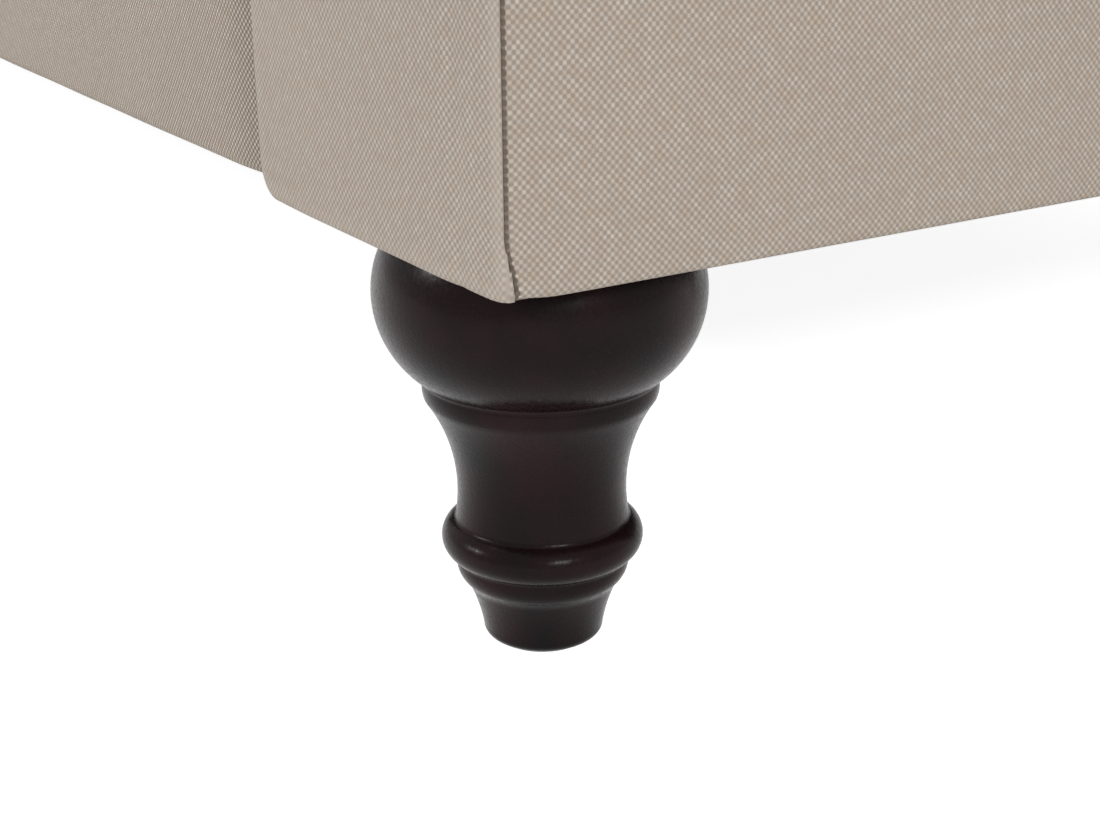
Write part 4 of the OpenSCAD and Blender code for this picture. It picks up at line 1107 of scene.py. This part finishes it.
def sewn(vertices, seed):
    """Presses a filled cushion into its place, draws in its two seams, and puckers the cloth by them.

    A seam is a groove at one height round the sides, with a soft roll on both sides of it. The
    puckers are waves along the seam that fade out away from it. Also gives the seams' shade.
    """
    roll_h, roll_off, roll_w, pucker_w, seam_w = 0.9, 6.5, 3.5, 14, 1.6
    side_wave, top_wave, top_settled, seam_shade_amount = 1.4, 0.7, 2.0, 0.6
    x, y, z = vertices[:, 0], vertices[:, 1], vertices[:, 2]
    flat = np.stack([x / CUSHION_HALF_X, y / CUSHION_HALF_Y], -1)
    rim = (np.abs(flat) ** CUSHION_SQUARE).sum(1) ** (1 / CUSHION_SQUARE)
    outward = flat * np.abs(flat) ** (CUSHION_SQUARE - 2)
    outward = outward / np.maximum(np.linalg.norm(outward, axis=1, keepdims=True), 1e-9)
    around = np.where(np.abs(flat[:, 0]) > np.abs(flat[:, 1]), y, x)
    draw = np.zeros(len(x))
    for height in (SEAM_LOW, SEAM_HIGH):
        off = z - height
        draw += GROOVE_DEPTH * hump(off, 0, GROOVE_W) - roll_h * hump(np.abs(off), roll_off, roll_w)
        draw += PUCKER_DEPTH * hump(off, 0, pucker_w) * ripple(around, around * 0.3, PUCKER_LENGTH, seed)
    draw = draw * ease(rim, 0.86, 0.93)
    sides = side_wave * ripple(around, z, 150, seed + 1) * ease(rim, 0.9, 0.97) * hump(z, BOXING_Z, 45)
    x = x - outward[:, 0] * (draw + sides)
    y = y - outward[:, 1] * (draw + sides)
    # Painted shade along both seams, passed on as values below zero of the weave's attribute
    at_seam = np.maximum(hump(z, SEAM_LOW, seam_w), hump(z, SEAM_HIGH, seam_w))
    seam = -seam_shade_amount * at_seam * ease(rim, 0.9, 0.96)
    top = ease(z, SEAM_HIGH, SEAM_HIGH + 20)
    dimple = CUSHION_DIMPLE * ripple(x, y, 240, seed + 2) + top_wave * ripple(x, y, 60, seed + 3)
    z = z + top * (dimple - top_settled) * (1 - 0.5 * ease(rim, 0.7, 1.0))
    z = np.clip(z, 0.0, CUSHION_H + CUSHION_OVER)
    x = np.clip(x, -CUSHION_HALF_X, CUSHION_HALF_X)
    y = np.clip(y, -CUSHION_HALF_Y - CUSHION_FRONT_OVER, CUSHION_HALF_Y)
    return np.stack([x, y, z], -1), seam


def cushion_piece(side, number, vertices, faces, material):
    """One seat cushion: the weave runs over its top and foot, and round its sides."""
    turned = vertices * (1 if number % 2 else -1, 1, 1)
    shaped, seam = sewn(turned, 60 + 7 * number)
    middle = shaped[faces].mean(1)
    a, b, c, d = (shaped[faces[:, k]] for k in range(4))
    normal = np.abs(np.cross(c - a, d - b))
    corner = shaped[faces.ravel()]
    flat_on = np.repeat((middle[:, 2] > SEAM_HIGH) | (middle[:, 2] < SEAM_LOW), 4)
    facing_side = np.repeat(normal[:, 0] > normal[:, 1], 4)
    other_cut = 1000.0
    round_side = np.where(facing_side, corner[:, 1] + other_cut, corner[:, 0])
    uv = np.where(flat_on[:, None], corner[:, :2], np.stack([round_side, corner[:, 2]], -1))
    placed = shaped + (number * CUSHION_PITCH, CUSHION_Y, CUSHION_Z)
    thing = mesh_piece("seat_cushion_" + side, placed, faces, uv, seam, material, "cushion_" + side)
    return thing


def repaint(name, material):
    """Gives a CAD node its own finish."""
    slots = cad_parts[name].data.materials
    slots.clear()
    slots.append(material)


def make_covers(cloth):
    """Arm facings, outside covers, front rail and deck."""
    for side, flip in (("right", False), ("left", True)):
        patches = facing_patches()
        facing = piece("arm_front_" + side, mirrored(patches) if flip else patches, cloth)
        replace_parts(facing, "arm_facing_" + side, "facing_pads")
        patches = side_patches()
        cover = piece("outside_arm_" + side, mirrored(patches) if flip else patches, cloth)
        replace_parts(cover, "outside_arm_cover_" + side)
    patches = rear_patches()
    rear = piece("outside_back", patches, cloth)
    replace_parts(rear, "outside_back_cover")
    rail = piece("front_border", rail_patches(), cloth)
    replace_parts(rail, "front_rail_cover", "front_rail_pad")
    deck = slab_patches((-DECK_X, FRAME_FRONT_Y + CLEAR, DECK_Z - 12.0), (DECK_X, DECK_Y, DECK_Z),
                        crown=1.2, edge=5.0, count=(150, 70), seed=71)
    platform = piece("seat_platform", deck, cloth)
    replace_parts(platform, "deck_cover", "deck_pad")


def make_buttoned(cloth):
    """Buttoned arms and back with their buttons."""
    arm, studs = arm_patches(), arm_buttons()
    for side, flip in (("right", False), ("left", True)):
        padding = piece("buttoned_arm_" + side, mirrored(arm) if flip else arm, cloth)
        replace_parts(padding, "inside_arm_" + side)
        buttons = piece("buttons_arm_" + side, mirrored(studs) if flip else studs, cloth)
        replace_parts(buttons, "arm_buttons_" + side)
    padding = piece("buttoned_back", back_patches(), cloth)
    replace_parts(padding, "inside_back")
    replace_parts(piece("buttons_back", back_buttons(), cloth), "back_buttons")


def make_cushions(cloth, tape):
    """Three loose cushions with their zips."""
    vertices, faces = filled_cushion()
    for number, side in ((-1, "left"), (0, "middle"), (1, "right")):
        cushion = cushion_piece(side, number, vertices, faces, cloth)
        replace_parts(cushion, "cushion_cover_" + side, "cushion_core_" + side)
        closing = zip_piece(side, number * CUSHION_PITCH, tape)
        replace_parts(closing, "cushion_zip_" + side)


def make_legs(paint):
    """Four turned legs."""
    for end, y in LEG_Y.items():
        for side, x in (("right", LEG_X), ("left", -LEG_X)):
            name = end + "_" + side
            leg = piece("turned_leg_" + name, [turned_patch(leg_profile(), (x, y), 144)], paint)
            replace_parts(leg, "leg_" + name)


def make_underside(lining, felt):
    """Dust cover and the felt discs under the legs."""
    patches = lining_patches()
    cover = piece("dust_lining", patches, lining)
    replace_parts(cover, "dust_cover")
    discs = [turned_patch(felt_profile(), (x, y), 48) for x in (-LEG_X, LEG_X) for y in LEG_Y.values()]
    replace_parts(piece("felt_discs", discs, felt), "felt_pads")


def finish_frame():
    """Finishes of the rigid parts, inner ones too."""
    # Planed beech: dull, with a fine straight grain along the sofa's length
    wood = plain_stuff("planed_beech", "#b98f60", "#d8b788", 3.0, ALONG_X, 0.05, {"Roughness": 0.55})
    # Pressed fibre board: matt brown with short fibres
    board = plain_stuff("brown_fibre_board", "#6f5336", "#94714b", 1.2, EVEN, 0.08, {"Roughness": 0.85})
    # Cut foam: dull pale yellow with open cells
    foam = plain_stuff("cut_polyurethane_foam", "#d5c99f", "#efe6c6", 0.9, EVEN, 0.25, DULL)
    # Zinc plate: grey metal with faint cloudy spangle and a soft shine
    zinc = plain_stuff("zinc_plated_steel", "#8e9194", "#b3b6b9", 5.0, EVEN, 0.01,
                       {"Roughness": 0.32, "Metallic": 1.0})
    # Woven jute: dull brown with coarse crossed ribs
    jute = lining_cloth("woven_jute", "#6d5330", "#b7976a", 1.6, 0.4)
    stuff = {"wood": wood, "board": board, "foam": foam, "zinc": zinc, "jute": jute}
    for kind, names in FINISHES.items():
        for name in names:
            repaint(name, stuff[kind])


def soft_lamp(name, place, aim, size, power):
    """A wide soft box of a width and height that looks at a point."""
    lamp = bpy.data.lights.new(name, "AREA")
    lamp.shape = "RECTANGLE"
    lamp.size, lamp.size_y = size
    lamp.energy = power
    thing = put_in_scene(name, lamp)
    thing.location = place
    away = Vector(place) - Vector(aim)
    thing.rotation_euler = away.to_track_quat("Z", "Y").to_euler()


def seen_as_white(tree):
    """1 for what the camera, mirrors and glass see, and 0 for light on its way to a surface."""
    path = add(tree, "LightPath")
    either = add(tree, "Math", {0: path.outputs["Is Camera Ray"], 1: path.outputs["Is Glossy Ray"]},
                 operation="MAXIMUM")
    return add(tree, "Math", {0: either, 1: path.outputs["Is Transmission Ray"]},
               operation="MAXIMUM")


def make_stage():
    """Plain pale floor that shows as white and keeps the sofa's shadow, and an even white world."""
    material, tree = new_material("pale_studio_floor")
    white = seen_as_white(tree)
    lift = add(tree, "Math", {0: white, 1: FLOOR_LIFT}, operation="MULTIPLY")
    surface = add(tree, "BsdfPrincipled", {"Base Color": linear("#ebebeb"), "Roughness": 0.9,
                                           "Specular IOR Level": 0.1,
                                           "Emission Color": (1.0, 1.0, 1.0, 1.0),
                                           "Emission Strength": lift})
    add(tree, "OutputMaterial", {"Surface": surface})
    mesh = bpy.data.meshes.new("studio_floor")
    corners = [(x * FLOOR_REACH, y * FLOOR_REACH, 0) for x, y in ((-1, -1), (1, -1), (1, 1), (-1, 1))]
    mesh.from_pydata(corners, [], [(0, 1, 2, 3)])
    mesh.materials.append(material)
    put_in_scene("studio_floor", mesh)
    world = bpy.data.worlds.new("white_studio")
    world.use_nodes = True
    world.node_tree.nodes.clear()
    bright = add(world.node_tree, "MapRange", {"Value": seen_as_white(world.node_tree),
                                               "To Min": WORLD_LIGHT, "To Max": 1.0})
    sky = add(world.node_tree, "Background", {"Color": (1.0, 1.0, 1.0, 1.0), "Strength": bright})
    add(world.node_tree, "OutputWorld", {"Surface": sky})
    bpy.context.scene.world = world


def make_camera():
    """Camera of the photograph: where it stood, how it was turned, and its angle of view."""
    heading, tilt, roll = (math.radians(a) for a in (CAMERA_HEADING, CAMERA_TILT, CAMERA_ROLL))
    level = np.array([math.sin(heading), math.cos(heading), 0.0])
    right = np.array([math.cos(heading), -math.sin(heading), 0.0])
    up = np.array([0.0, 0.0, 1.0])
    forward = math.cos(tilt) * level - math.sin(tilt) * up
    upright = math.sin(tilt) * level + math.cos(tilt) * up
    across = math.cos(roll) * right + math.sin(roll) * upright
    above = -math.sin(roll) * right + math.cos(roll) * upright
    turned = np.eye(4)
    turned[:3, 0], turned[:3, 1], turned[:3, 2] = across, above, -forward
    turned[:3, 3] = np.array(CAMERA_PLACE) * MM
    lens = bpy.data.cameras.new("photo_camera")
    lens.sensor_width = SENSOR
    lens.lens = SENSOR * FOCAL_PIXELS / PHOTO_WIDTH
    lens.clip_start = 0.01
    camera = put_in_scene("photo_camera", lens)
    camera.matrix_world = Matrix(turned.tolist())
    bpy.context.scene.camera = camera


def make_light():
    """Soft studio light: a box at the front left, a stronger one on the outer side, a wide one above."""
    for name, setting in LAMPS.items():
        soft_lamp(name, *setting)


bpy.context.scene.view_settings.view_transform = "Standard"
sofa_fabric = sofa_cloth()
make_camera()
make_light()
make_stage()
finish_frame()
make_covers(sofa_fabric)
make_buttoned(sofa_fabric)
make_legs(leg_paint())
# Polyester zip tape: fine even ribs, a little darker than the cloth
make_cushions(sofa_fabric, lining_cloth("polyester_zip_tape", "#8c8073", "#b3a798", 0.7, 0.1))
# Black lining: dull, with a weave that hardly shows. Felt: pale and soft, with short hairs
make_underside(lining_cloth("black_spun_lining", "#141416", "#2d2d31", 0.9, 0.1),
               plain_stuff("pressed_wool_felt", "#cbc6bc", "#e4e0d8", 0.8, EVEN, 0.3, DULL))
